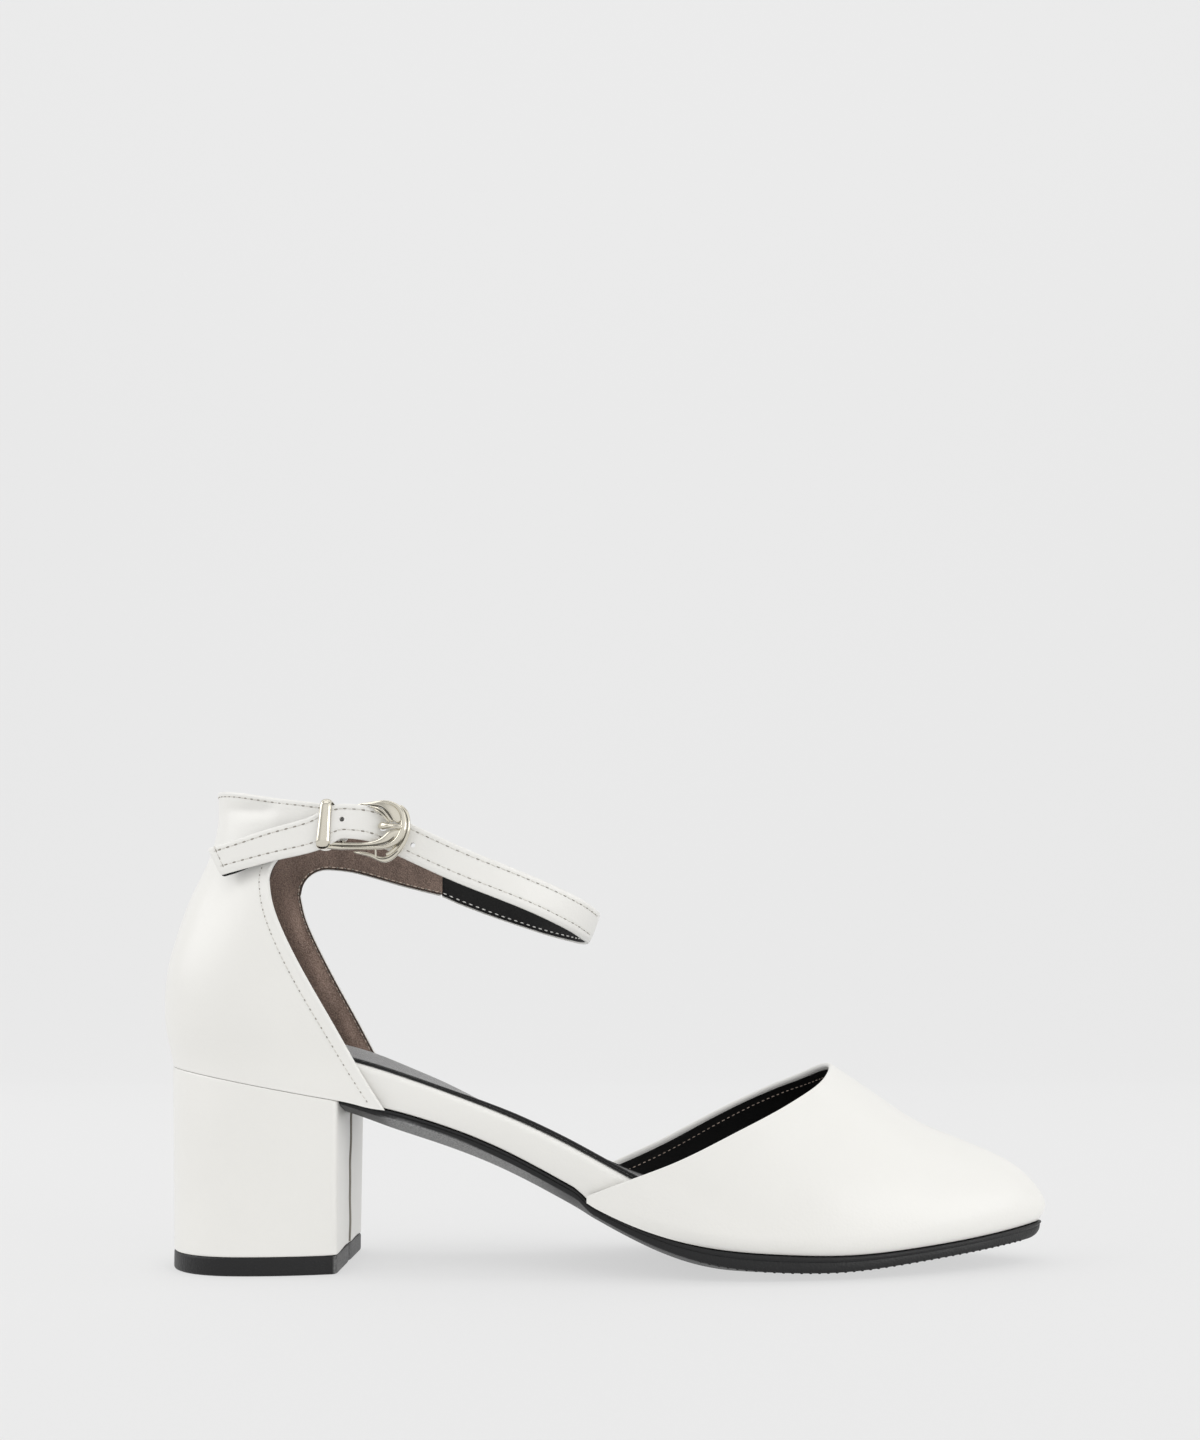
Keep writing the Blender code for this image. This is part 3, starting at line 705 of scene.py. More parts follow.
def brown_lining():
    """Napped taupe lining: short fibres in brushed patches, paler where the attribute "lit" is high; that
    attribute carries painted light along the leg.
    """

    def make(name):
        finish = Finish(
            name, Sheen_Weight=0.5, Sheen_Roughness=0.4, Sheen_Tint=NAP_SHEEN, Specular_IOR_Level=0.2,
        )
        brushed = finish.noise(190.0, 4.0, (1.0, 1.0, 0.35))
        nap = finish.noise(2600.0, 3.0)
        tone = finish.range(brushed * 0.3 + nap * 0.7, 0.36, 0.64, 0.6, 1.4)
        lit = finish.nodes.add("ShaderNodeAttribute", {"attribute_name": "lit"}, output="Fac")
        pale = shade_of("brown_lining", 2.0)
        return finish.set(
            Base_Color=finish.blend(tone * lit, BLACK, pale),
            Roughness=finish.range(nap, 0.2, 0.8, 0.82, 0.97),
            Normal=finish.bump(nap * 0.7 + brushed * 0.3, 0.6, 0.0006),
        )

    return known_material("taupe_napped_lining", make)


def sole_rubber():
    """Satin black rubber with a finely pebbled skin, grey where the attribute "underside" is high."""

    def make(name):
        finish = Finish(name, Specular_IOR_Level=0.35)
        pebble = finish.cells(1500.0)
        cloud = finish.noise(60.0, 4.0)
        grit = finish.noise(1900.0, 4.0)
        underside = finish.nodes.add("ShaderNodeAttribute", {"attribute_name": "underside"}, output="Fac")
        edge = finish.blend(cloud, shade_of("rubber", 0.8), shade_of("rubber", 1.25))
        speckle = finish.range(grit, 0.35, 0.65)
        ground = finish.blend(speckle, shade_of("tread", 0.6), shade_of("tread", 1.3))
        return finish.set(
            Base_Color=finish.blend(underside, edge, ground),
            Roughness=finish.range(cloud + underside, 0.3, 1.5, 0.36, 0.8),
            Normal=finish.bump(pebble * 0.6 + grit * 0.4, 0.25, 0.0005),
        )

    return known_material("satin_black_rubber", make)


def thread(name, colour):
    """Twisted sewing thread."""

    def make(given):
        finish = Finish(given, Specular_IOR_Level=0.25)
        twist = finish.noise(4200.0, 2.0)
        return finish.set(
            Base_Color=finish.blend(twist, shade_of(colour, 0.8), shade_of(colour, 1.15)),
            Roughness=finish.range(twist, 0.3, 0.7, 0.55, 0.75),
            Normal=finish.bump(twist, 0.5, 0.0003),
        )

    return known_material(name, make)


def buckle_metal(name="pale_polished_nickel", tone=1.0):
    """Polished nickel with hairline marks and a trace of haze. A low tone paints shade into its grooves."""

    def make(given):
        finish = Finish(given, Metallic=1.0)
        hairline = finish.noise(900.0, 3.0, (0.2, 1.0, 1.0))
        haze = finish.noise(240.0, 4.0)
        dull = shade_of("metal", 0.93 * tone)
        bright = shade_of("metal", 1.03 * tone)
        return finish.set(
            Base_Color=finish.blend(haze, dull, bright),
            Roughness=finish.range(haze + hairline * 0.3, 0.4, 0.9, 0.09, 0.2),
            Normal=finish.bump(hairline, 0.04, 0.0002),
        )

    return known_material(name, make)


def stage_paper():
    """Matte paper of the floor and its sweep, lit a little from below so that shadows stay pale."""

    def make(name):
        glow = bpy.context.scene.pump_stage.floor_glow
        finish = Finish(name, Specular_IOR_Level=0.1, Emission_Color=WHITE, Emission_Strength=glow)
        tooth = finish.noise(700.0, 3.0)
        return finish.set(
            Base_Color=finish.blend(tooth, shade_of("paper", 0.99), shade_of("paper", 1.0)),
            Roughness=finish.range(tooth, 0.3, 0.7, 0.75, 0.85),
        )

    return known_material("pale_stage_paper", make)


# Vamp

# Distances from the throat's edge at which rows of the vamp lie, close together on the turned edge
RIM_ROWS = (0.0, 0.08, 0.2, 0.36, 0.56, 0.8, 1.1, 1.5, 2.1, 2.7, 3.5, 4.6)
RIM_SHARE = 0.5
VAMP_ROWS = 34
VAMP_COLUMNS = 92
VAMP_TUCK_ROWS = 7
VAMP_TUCK_END = 0.88
VAMP_LINE_STEPS = 44
THROAT_SWEEP = 0.75

# Soft troughs of the vamp: side, middle, reach along and across, turn and depth
VAMP_FOLDS = (
    (OUTER, 176.0, 30.0, 22.0, 5.0, 24.0, 0.22),
    (OUTER, 214.0, 21.0, 16.0, 3.6, -16.0, 0.18),
    (OUTER, 150.0, 22.0, 16.0, 3.4, -28.0, 0.20),
    (INNER, 170.0, 30.0, 20.0, 5.0, 22.0, 0.20),
    (INNER, 212.0, 22.0, 15.0, 3.6, -14.0, 0.16),
)


def vamp_widest(x):
    """Height of the vamp's widest line, low where the throat comes down to the sole."""
    low = under_upper(x) + GAP / 2.0
    return low + min(VAMP_BULGE_HEIGHT, VAMP_BULGE_SHARE * (THROAT.read("outer", x) - low))


def vamp_height(x, y):
    """Height of the outer face over a point of the plan."""
    side = OUTER if y < toe_axis(x) else INNER
    widest = vamp_widest(x)
    reach = abs(y - toe_axis(x)) / max(half_width(x, side), LEAST_WIDTH)
    bow = max(1.0 - min(reach, 1.0) ** VAMP_ROUNDNESS, 0.0)
    return widest + (CROWN.read("height", x) - widest) * math.sqrt(bow)


def throat_point(x, side):
    """Plan point of the throat's edge, where its height meets the outer face."""
    widest = vamp_widest(x)
    rise = (THROAT.read(side_name(side), x) - widest) / (CROWN.read("height", x) - widest)
    reach = max(1.0 - min(rise, 1.0) ** 2.0, 0.0) ** (1.0 / VAMP_ROUNDNESS)
    return Vector((x, toe_axis(x) + side * reach * half_width(x, side)))


def vamp_line(share, side):
    """Dense line up the vamp from the lasted edge to the throat, share 0 at the rear and 1 at the toe."""
    sweep = math.sin(share * math.pi / 2.0)
    x_low = mix(VAMP_REAR, SHOE_TIP, sweep)
    turn = from_both_ends(x_low)
    tuck = lasting_tuck(x_low)
    low = under_upper(x_low) + GAP / 2.0
    widest = vamp_widest(x_low)
    line = []
    for rise in spread(0.0, VAMP_TUCK_END, VAMP_TUCK_ROWS):
        line.append((*outline(turn, side, tuck * (1.0 - rise) ** 2), mix(low, widest, rise)))
    foot = plan_point(turn, side)
    edge = throat_point(mix(VAMP_REAR, THROAT_CENTRE, sweep ** THROAT_SWEEP), side)
    for step in spread(0.0, 1.0, VAMP_LINE_STEPS):
        place = mix(foot, edge, 1.0 - math.cos(step * math.pi / 2.0))
        line.append((*place, vamp_height(place.x, place.y)))
    return np.array(line)


def rows_below_edge(line):
    """Points of a line at set distances from its upper end, and those distances."""
    lengths = np.concatenate(([0.0], np.cumsum(np.linalg.norm(np.diff(line, axis=0), axis=1))))
    total = lengths[-1]
    rim = np.array(RIM_ROWS) * min(1.0, RIM_SHARE * total / RIM_ROWS[-1])
    rest = np.linspace(rim[-1], total, VAMP_ROWS + 1)[1:]
    distances = np.concatenate((rim, rest))
    places = [np.interp(total - distances, lengths, line[:, axis]) for axis in range(3)]
    return np.column_stack(places), distances


def vamp_sheet():
    """Columns of points round the vamp, from the outer rear corner over the toe to the inner one."""
    shares = spread(0.0, 1.0, VAMP_COLUMNS)
    columns = [rows_below_edge(vamp_line(share, OUTER)) for share in shares]
    columns += [rows_below_edge(vamp_line(share, INNER)) for share in reversed(shares[:-1])]
    return columns


def fold_depth(points, folds):
    """Sum of the listed troughs at each point."""
    depth = np.zeros(len(points))
    for side, x, z, along, across, turn, deep in folds:
        lean = math.radians(turn)
        gap_x = points[:, 0] - x
        gap_z = points[:, 2] - z
        run = gap_x * math.cos(lean) + gap_z * math.sin(lean)
        rise = gap_z * math.cos(lean) - gap_x * math.sin(lean)
        here = np.where(points[:, 1] * side > 0.0, 1.0, 0.0)
        depth += here * deep * bump_at(run, along) * bump_at(rise, across)
    return depth


def columns_to_sheet(columns, first_row=0):
    """Points, faces and distances to the edge of a sheet given as columns."""
    points = np.vstack([places[first_row:] for places, distances in columns])
    to_edge = np.concatenate([distances[first_row:] for places, distances in columns])
    rows = len(columns[0][0]) - first_row
    numbers = [[place * rows + row for row in range(rows)] for place in range(len(columns))]
    return points, grid_faces(numbers), to_edge


def make_vamp():
    columns = vamp_sheet()
    points, faces, to_edge = columns_to_sheet(columns)
    relief = -fold_depth(points, VAMP_FOLDS)
    wall = rounded_wall(
        "vamp_upper", points, faces, to_edge, VAMP_WALL, VAMP_EDGE_RADIUS, relief, bevel=TURNED_EDGE,
    )
    dress("vamp_upper", wall, white_leather(), "vamp")

    first_row = next(row for row, distance in enumerate(RIM_ROWS) if distance >= TURNED_EDGE)
    points, faces, to_edge = columns_to_sheet(columns, first_row)
    to_edge = to_edge - to_edge.min()
    lining = rounded_wall(
        "vamp_lining", points, faces, to_edge, LINING_THICKNESS, LINING_EDGE_RADIUS,
        depth=VAMP_LINING_DEPTH,
    )
    dress("vamp_lining", lining, black_lining())


# Back upper

COUNTER_COLUMNS = 104
COUNTER_ROWS_BELOW = 54
COUNTER_ROWS_ABOVE = 46
EAR_STEP = 0.8
EAR_CORNER_START = 0.08
BORDER_CORNER_START = 0.05
EAR_LINING_LAP = 0.6
TIP_DROP = 0.5
TIP_MIDDLE = 62.0
TIP_REACH = 4.5
EDGE_ROUNDING = 0.55
EDGE_ROLL = 0.07
EDGE_ROLL_MIDDLE = 0.8
EDGE_ROLL_REACH = 0.45
COUNTER_FOOT = 43.7
COUNTER_TOP_BACK = 13.0
TOPLINE_BACK = 15.0
SETTLE_ROUNDS = 12

# How pale the napped lining is: all over, at its dark edge, and with painted light along the leg that shows
# through the side
LINING_LIT = 0.4
LINING_DARK_EDGE = 0.8
LINING_EDGE_LIT = 0.3
LEG_TOP = 112.0
LEG_FADE = 14.0
LEG_PAINTED_LIGHT = 0.42
LEG_PAINTED_LIGHT_MIDDLE = 2.6
LEG_PAINTED_LIGHT_REACH = 2.4

# Soft dents, and swells where the depth is below zero, of the back upper:
# side, middle, reach along and across, turn and depth
COUNTER_FOLDS = (
    (OUTER, 27.0, 127.0, 7.0, 1.9, -6.0, 1.05),
    (OUTER, 35.5, 125.6, 3.0, 3.0, 0.0, -0.3),
    (OUTER, 17.5, 121.5, 4.0, 3.5, 30.0, -0.25),
    (OUTER, 14.0, 100.0, 16.0, 6.0, 62.0, 0.20),
    (OUTER, 40.0, 70.0, 18.0, 7.0, -58.0, 0.20),
    (INNER, 26.0, 124.0, 9.0, 4.0, -8.0, 0.40),
    (INNER, 38.0, 74.0, 18.0, 7.0, -58.0, 0.25),
)


def counter_point(x, z, side):
    """Outer face of the back upper: the seat plan carried up along the back line."""
    back = COUNTER.read("back", z)
    width = half_width(x - back + SEAT_BACK, side)
    girth = COUNTER.read("girth", z) + COUNTER.read("splay", z) * (x - EAR_ROOT)
    return (x, side * width * girth, z)


def counter_normal(x, z, side):
    """Direction out of the back upper's face."""
    here = Vector(counter_point(x, z, side))
    along = Vector(counter_point(x + SLOPE_NUDGE, z, side)) - here
    upwards = Vector(counter_point(x, z + SLOPE_NUDGE, side)) - here
    return (along.cross(upwards) * -side).normalized()


def both_ends_dense(count):
    """Shares from 0 to 1 that lie close together at both ends."""
    return [smoothstep(0.0, 1.0, share) for share in spread(0.0, 1.0, count)]


def ear_low(x, side, inset):
    """Lower edge of an ear, with the round corner at its root."""
    from_round = max(EAR_ROOT + EAR_FILLET_LENGTH - x, 0.0) / EAR_FILLET_LENGTH
    drop = EAR_FILLET_RISE * (1.0 - math.sqrt(max(1.0 - min(from_round, 1.0) ** 2, 0.0)))
    return EAR_LOW.read(side_name(side), x) - drop + inset


def ear_end(side):
    return OUTER_EAR_END if side < 0.0 else INNER_EAR_END


def counter_column(forward, side, inset):
    """Points up the back upper, forward 0 at the centre back and 1 at its front edge."""
    z_low = SOLE.read("seat", SEAT_BACK)
    for _ in range(SETTLE_ROUNDS):
        x_low = mix(COUNTER.read("back", z_low), COUNTER_FRONT.read("front", z_low) - inset, forward)
        drop = TIP_DROP * float(bump_at(x_low - TIP_MIDDLE, TIP_REACH))
        z_low = SOLE.read("seat", x_low) + SEAT_SEAM - drop
    column = []
    for z in spread(z_low, EAR_ROOT_HEIGHT, COUNTER_ROWS_BELOW):
        x = mix(COUNTER.read("back", z), COUNTER_FRONT.read("front", z) - inset, forward)
        column.append(counter_point(x, z, side))
    z_top = TOPLINE.read(side_name(side), mix(TOPLINE_BACK, EAR_ROOT, forward)) - inset
    for share in both_ends_dense(COUNTER_ROWS_ABOVE)[1:]:
        z = mix(EAR_ROOT_HEIGHT, z_top, share)
        column.append(counter_point(mix(COUNTER.read("back", z), EAR_ROOT - inset, forward), z, side))
    return column


def ear_column(x, side, inset):
    low = ear_low(x, side, inset)
    top = TOPLINE.read(side_name(side), x) - inset
    return [counter_point(x, mix(low, top, share), side) for share in both_ends_dense(COUNTER_ROWS_ABOVE)]


def ear_places(side, inset):
    """Places along an ear, close together in the round corner at its root."""
    shares = spread(EAR_CORNER_START, 1.0, 16)
    corner = [EAR_ROOT - inset + EAR_FILLET_LENGTH * share ** 2 for share in shares]
    end = ear_end(side) + (EAR_LINING_LAP if inset > 0.0 else 0.0)
    count = 2 + round((end - corner[-1]) / EAR_STEP)
    return corner + spread(corner[-1], end, count)[1:]


def front_border(side):
    """Free edge in the side view: up the front, round the corner and along the ear's lower edge."""
    line = [(COUNTER_FRONT.read("front", z), z) for z in spread(COUNTER_FOOT, EAR_ROOT_HEIGHT, 60)]
    corner = [EAR_ROOT + EAR_FILLET_LENGTH * share ** 2 for share in spread(BORDER_CORNER_START, 1.0, 24)]
    line += [(x, ear_low(x, side, 0.0)) for x in corner]
    line += [(x, ear_low(x, side, 0.0)) for x in spread(corner[-1], ear_end(side), 30)[1:]]
    return line


def top_border(side):
    """Top edge in the side view, from the ear's end to the centre back."""
    places = spread(ear_end(side), COUNTER_TOP_BACK, 60)
    return [(x, TOPLINE.read(side_name(side), x)) for x in places]


def counter_sheet(inset):
    """Points and faces of the back upper, and each point's distance from its front and its top edge."""
    columns = []
    for side in (OUTER, INNER):
        missing = [None] * (COUNTER_ROWS_BELOW - 1)
        ear = [missing + ear_column(x, side, inset) for x in ear_places(side, inset)]
        body = [counter_column(forward, side, inset) for forward in both_ends_dense(COUNTER_COLUMNS)]
        half = body + ear
        columns = list(reversed(half)) if side < 0.0 else columns + half[1:]
    points = []
    numbers = []
    for column in columns:
        row = []
        for point in column:
            row.append(None if point is None else len(points))
            if point is not None:
                points.append(point)
        numbers.append(row)
    points = np.array(points)
    to_front = np.full(len(points), np.inf)
    to_top = np.full(len(points), np.inf)
    for side in (OUTER, INNER):
        here = points[:, 1] * side >= 0.0
        places = points[here][:, (0, 2)]
        to_front[here] = np.maximum(distance_to_line(places, front_border(side)) - inset, 0.0)
        to_top[here] = np.maximum(distance_to_line(places, top_border(side)) - inset, 0.0)
    return points, grid_faces(numbers), to_front, to_top


def make_counter():
    points, faces, to_front, to_top = counter_sheet(0.0)
    to_edge = np.minimum(to_front, to_top)
    groove = bump_at(to_top - TOP_SEAM_INSET, SEAM_HALF_WIDTH)
    roll = EDGE_ROLL * bump_at(to_edge - EDGE_ROLL_MIDDLE, EDGE_ROLL_REACH)
    relief = roll - SEAM_DEPTH * groove - fold_depth(points, COUNTER_FOLDS)
    wall = rounded_wall(
        "heel_counter_upper", points, faces, to_edge, COUNTER_LEATHER, EDGE_ROUNDING, relief,
    )
    dress("heel_counter_upper", wall, white_leather(), "heel_counter")

    points, faces, to_front, to_top = counter_sheet(COUNTER_LINING_INSET)
    to_edge = np.minimum(to_front, to_top)
    relief = -fold_depth(points, COUNTER_FOLDS)
    depth = COUNTER_LEATHER - LINING_LAP
    lining = rounded_wall(
        "heel_counter_lining", points, faces, to_edge, LINING_THICKNESS, LINING_EDGE_RADIUS, relief, depth,
    )
    # Painted light: the leg below the ear gets a paler band near its front edge, as if lit through the open
    # side; the lining is darker at its edge
    on_leg = np.clip((LEG_TOP - points[:, 2]) / LEG_FADE, 0.0, 1.0)
    lit = LINING_LIT + LEG_PAINTED_LIGHT * on_leg * bump_at(to_front - LEG_PAINTED_LIGHT_MIDDLE, LEG_PAINTED_LIGHT_REACH)
    lit *= np.clip(to_edge / LINING_DARK_EDGE, LINING_EDGE_LIT, 1.0)
    mark(lining, "lit", np.concatenate((lit, lit)))
    dress("heel_counter_lining", lining, brown_lining())


# Footbed and sock

FOOTBED_ROWS = 190
FOOTBED_EDGE_RADIUS = 2.0
FOOTBED_EDGE_SHARE = 0.45
FOOTBED_MIDDLE = (0.25, 0.5, 0.75)
SOCK_ROWS = 170
SOCK_LIFT = 0.05
SOCK_PAD_FRONT = 104.0
SOCK_PAD_FULL = 76.0
SOCK_PAD_EDGE_DROP = 0.55
SOCK_PAD_RISE = 0.95
SOCK_DISH = -0.35
SOCK_SHEEN = 0.8

# Lower edge of the footbed: how far in from its side, and height above its foot
FOOTBED_FOOT = ((0.8, 0.0), (0.25, 0.25), (0.0, 0.9))

# Edge of the sock: how far in from its side, and height above its foot or depth below its top
SOCK_FOOT = ((0.3, 0.0), (0.0, 0.25), (0.0, 0.6), (0.22, 0.7), (0.22, 0.76), (0.04, 0.84))
SOCK_TOP = ((0.0, 0.25), (0.14, 0.12), (0.5, 0.0))

# Rows across the sock, each a share of the way from the row before it to the inner edge
SOCK_STEPS = (0.06, 0.14, 0.25, 0.4, 0.5, 0.6, 0.75, 0.86, 0.94)


def make_footbed():
    rings = []
    for turn in turns(SEAT_BACK + END_MARGIN, SHOE_TIP - END_MARGIN, FOOTBED_ROWS):
        x = length_at(turn)
        low = under_upper(x) + GAP / 2.0
        inset = footbed_inset(x)
        edges = []
        for side in (OUTER, INNER):
            top = footbed_top(x, side)
            radius = min(FOOTBED_EDGE_RADIUS, FOOTBED_EDGE_SHARE * (top - low))
            steps = [(inset + inwards, low + rise) for inwards, rise in FOOTBED_FOOT]
            for angle in spread(0.0, 90.0, 8):
                arc = math.radians(angle)
                steps.append((inset + radius * (1.0 - math.cos(arc)), top - radius * (1.0 - math.sin(arc))))
            edges.append([(*outline(turn, side, depth), height) for depth, height in steps])
        outer, inner = edges
        flat = [tuple(Vector(outer[-1]).lerp(Vector(inner[-1]), share)) for share in FOOTBED_MIDDLE]
        rings.append(outer + flat + list(reversed(inner)))
    band = loft("footbed_wrap", rings)
    dress("footbed_wrap", band, white_leather(), "footbed")

    rings = []
    for turn in turns(SEAT_BACK + END_MARGIN, SOCK_FRONT, SOCK_ROWS):
        x = length_at(turn)
        inset = footbed_inset(x) + SOCK_INSET
        padded = smoothstep(SOCK_PAD_FRONT, SOCK_PAD_FULL, x)
        swell = mix(SOCK_DISH, SOCK_PAD_RISE, padded)
        edges = []
        for side in (OUTER, INNER):
            low = footbed_top(x, side) + SOCK_LIFT
            high = footbed_top(x, side) + GAP + SOCK_THICKNESS - SOCK_PAD_EDGE_DROP * padded
            steps = [(inset + inwards, low + rise) for inwards, rise in SOCK_FOOT]
            steps += [(inset + inwards, high - drop) for inwards, drop in SOCK_TOP]
            edges.append([(*outline(turn, side, depth), height) for depth, height in steps])
        ring, inner = edges
        for share in SOCK_STEPS:
            along, across, height = Vector(ring[-1]).lerp(Vector(inner[-1]), share)
            ring.append((along, across, height + swell * math.sin(share * math.pi)))
        rings.append(ring + list(reversed(inner)))
    sock = loft("insole_sock_lining", rings)
    dusty = black_lining("dusty_black_sock", SOCK_SHEEN)
    dress("insole_sock_lining", sock, dusty, "insole_sock")


# Outsole

# Height of the black edge where grey underside shows below it
BLACK_EDGE = Table("x tall", [
    (53.0, 3.0),
    (70.0, 1.5),
    (76.0, 1.6),
    (96.0, 2.3),
    (112.0, 2.9),
    (120.0, 3.4),
    (130.0, 9.0),
    (253.0, 9.0),
])
SOLE_ROWS = 210
SOLE_TIP_MARGIN = 0.03
SOLE_BEAD = 0.32
SOLE_BEAD_FROM = (HEEL_BREAST + 6.0, HEEL_BREAST + 16.0)
SOLE_TIP_START = 246.5
SOLE_TIP_SHARE = 0.3
UNDERSIDE_DROP = 99.0
GREY_FADE = 0.5
WAIST_GREY_FROM = (HEEL_BREAST + 9.0, HEEL_BREAST + 15.0)
WAIST_GREY_TO = (VAMP_REAR - 1.0, VAMP_REAR - 20.0)
# From the vamp's rear to the ball the underside stays black: painted shade where the sole nears the floor
FOREFOOT_GREY_FROM = (VAMP_REAR + 30.0, VAMP_REAR + 45.0)
FOREFOOT_GREY = 0.7

# Down the sole's side: inset, share of the bead that stands out there, and share of the side's height
SOLE_SIDE = (
    (0.5, 0.0, 0.0),
    (0.0, 0.5, 0.02),
    (0.0, 1.0, 0.1),
    (0.0, 1.0, 0.2),
    (0.0, 0.4, 0.29),
    (0.1, 0.0, 0.34),
    (0.0, 0.0, 0.4),
    (0.05, 0.0, 0.7),
    (0.12, 0.0, 0.88),
    (0.3, 0.0, 0.97),
)

# Places across the underside, from its middle line to one side
SOLE_HALF = (0.17, 0.34, 0.5, 0.66, 0.8, 0.9, 0.96, 0.985)


def sole_wall(x):
    """Height of the sole's side, which thins out at the tip of the toe."""
    close = min(max((x - SOLE_TIP_START) / (SHOE_TIP - SOLE_TIP_START), 0.0), 1.0)
    return SOLE.read("edge", x) * mix(SOLE_TIP_SHARE, 1.0, math.sqrt(1.0 - close ** 2))


def underside_share(x, drop):
    """How much of the worn grey underside shows at a drop below the sole's top. From the vamp's rear to the
    ball none shows: painted shade.
    """
    waist = smoothstep(*WAIST_GREY_FROM, x) * smoothstep(*WAIST_GREY_TO, x)
    forefoot = FOREFOOT_GREY * smoothstep(*FOREFOOT_GREY_FROM, x)
    black = BLACK_EDGE.read("tall", x)
    return (waist + forefoot) * smoothstep(black, black + GREY_FADE, drop)


def sole_edge(x, turn, side):
    """Points down the sole's side: a fine bead at the top, a straight wall and a rounded lower edge."""
    inset = outsole_inset(x)
    top = under_upper(x) - GAP / 2.0
    tall = sole_wall(x)
    bead = SOLE_BEAD * smoothstep(*SOLE_BEAD_FROM, x)
    steps = [(inset + inwards - out * bead, down * tall) for inwards, out, down in SOLE_SIDE]
    return [(*outline(turn, side, depth), top - drop) for depth, drop in steps]


def make_sole():
    shares = [-share for share in reversed(SOLE_HALF)] + [0.0] + list(SOLE_HALF)
    rings = []
    underside = []
    for turn in turns(HEEL_BREAST + GAP, SHOE_TIP - SOLE_TIP_MARGIN, SOLE_ROWS):
        x = length_at(turn)
        inset = outsole_inset(x) + SOLE_SIDE[-1][0]
        edge = under_upper(x) - GAP / 2.0 - sole_wall(x)
        middle = mix(edge, SOLE.read("middle", x), smoothstep(SHOE_TIP, SOLE_TIP_START, x))
        outer = outline(turn, OUTER, inset)
        inner = outline(turn, INNER, inset)
        wall = sole_edge(x, turn, OUTER)
        below = []
        for share in shares:
            plan = mix(outer, inner, (share + 1.0) / 2.0)
            height = mix(middle, edge, abs(share) ** OUTSOLE_DOME_POWER)
            below.append((plan.x, plan.y, max(height, 0.0)))
        rings.append(wall + below + list(reversed(sole_edge(x, turn, INNER))))
        top = under_upper(x) - GAP / 2.0
        rim = [underside_share(x, top - point[2]) for point in wall]
        underside += rim + [underside_share(x, UNDERSIDE_DROP)] * len(below) + list(reversed(rim))
    sole = loft("outsole_rubber", rings)
    mark(sole, "underside", underside)
    dress("outsole_rubber", sole, sole_rubber(), "outsole")


# Heel

HEEL_ROWS = 56
HEEL_COVER_HEIGHT = 46.0
HEEL_RIM = 0.55
HEEL_RIM_INSET = 0.28
HEEL_COLUMNS = 56
HEEL_BACK_MARGIN = 0.0001
HEEL_CORNER_START = 11.0
BREAST_SEAM_OFFSETS = (0.0, 0.1, 0.2, 0.3, 0.4, 0.52, 0.7, 1.0, 1.6, 3.0, 6.0, 10.0, 14.0, 18.0)
BREAST_SEAM_LINE = 0.3
BREAST_SEAM_SINK = 0.08
BREAST_SEAM_SPAN = (0.05, 0.985)
BREAST_SEAM_CLEAR = 1.0

# Soft bells that make the seam's slit and its drawn-in lips: depth and half width
BREAST_SEAM_BELLS = ((2.4, 0.34), (0.3, 1.8))

# Waves of the seam down the breast: swing, radians over the heel's height, and start
BREAST_SEAM_WAVES = ((0.6, 9.0, 0.0), (0.3, 23.0, 1.0))

# Slits where the wrap lifts off the top lift along the breast: rise, middle and half width
WRAP_GAP = 0.08
WRAP_LIFT = 0.1
WRAP_SLITS = ((0.5, -8.0, 6.0), (0.5, 13.0, 5.0))
WRAP_SLITS_FROM = (HEEL_BREAST - 3.0, HEEL_BREAST - 0.5)

# Section of the top lift: inset and height
LIFT_SECTION = ((0.55, 0.0), (0.2, 0.15), (0.03, 0.45), (0.0, 0.9), (0.0, 4.3), (0.06, 4.75), (0.25, 4.95))
# Paler grey over the top lift's front face: its share, and where along the heel it starts
LIFT_FRONT_GREY = 0.5
LIFT_FRONT_GREY_FROM = (HEEL_BREAST - 1.2, HEEL_BREAST - 0.6)


def heel_floor_half_width(x):
    """Half width of the heel at the floor: round back, then sides that draw in to the breast."""
    behind = max(HEEL_FLOOR_WIDEST - x, 0.0) / (HEEL_FLOOR_WIDEST - HEEL_BACK_AT_FLOOR)
    ahead = max(x - HEEL_FLOOR_WIDEST, 0.0) / (HEEL_BREAST - HEEL_FLOOR_WIDEST)
    back = max(1.0 - behind ** HEEL_FLOOR_SQUARENESS, 0.0) ** (1.0 / HEEL_FLOOR_SQUARENESS)
    return back * mix(HEEL_FLOOR_HALF_WIDTH, HEEL_FLOOR_BREAST_HALF_WIDTH, ahead ** 2)


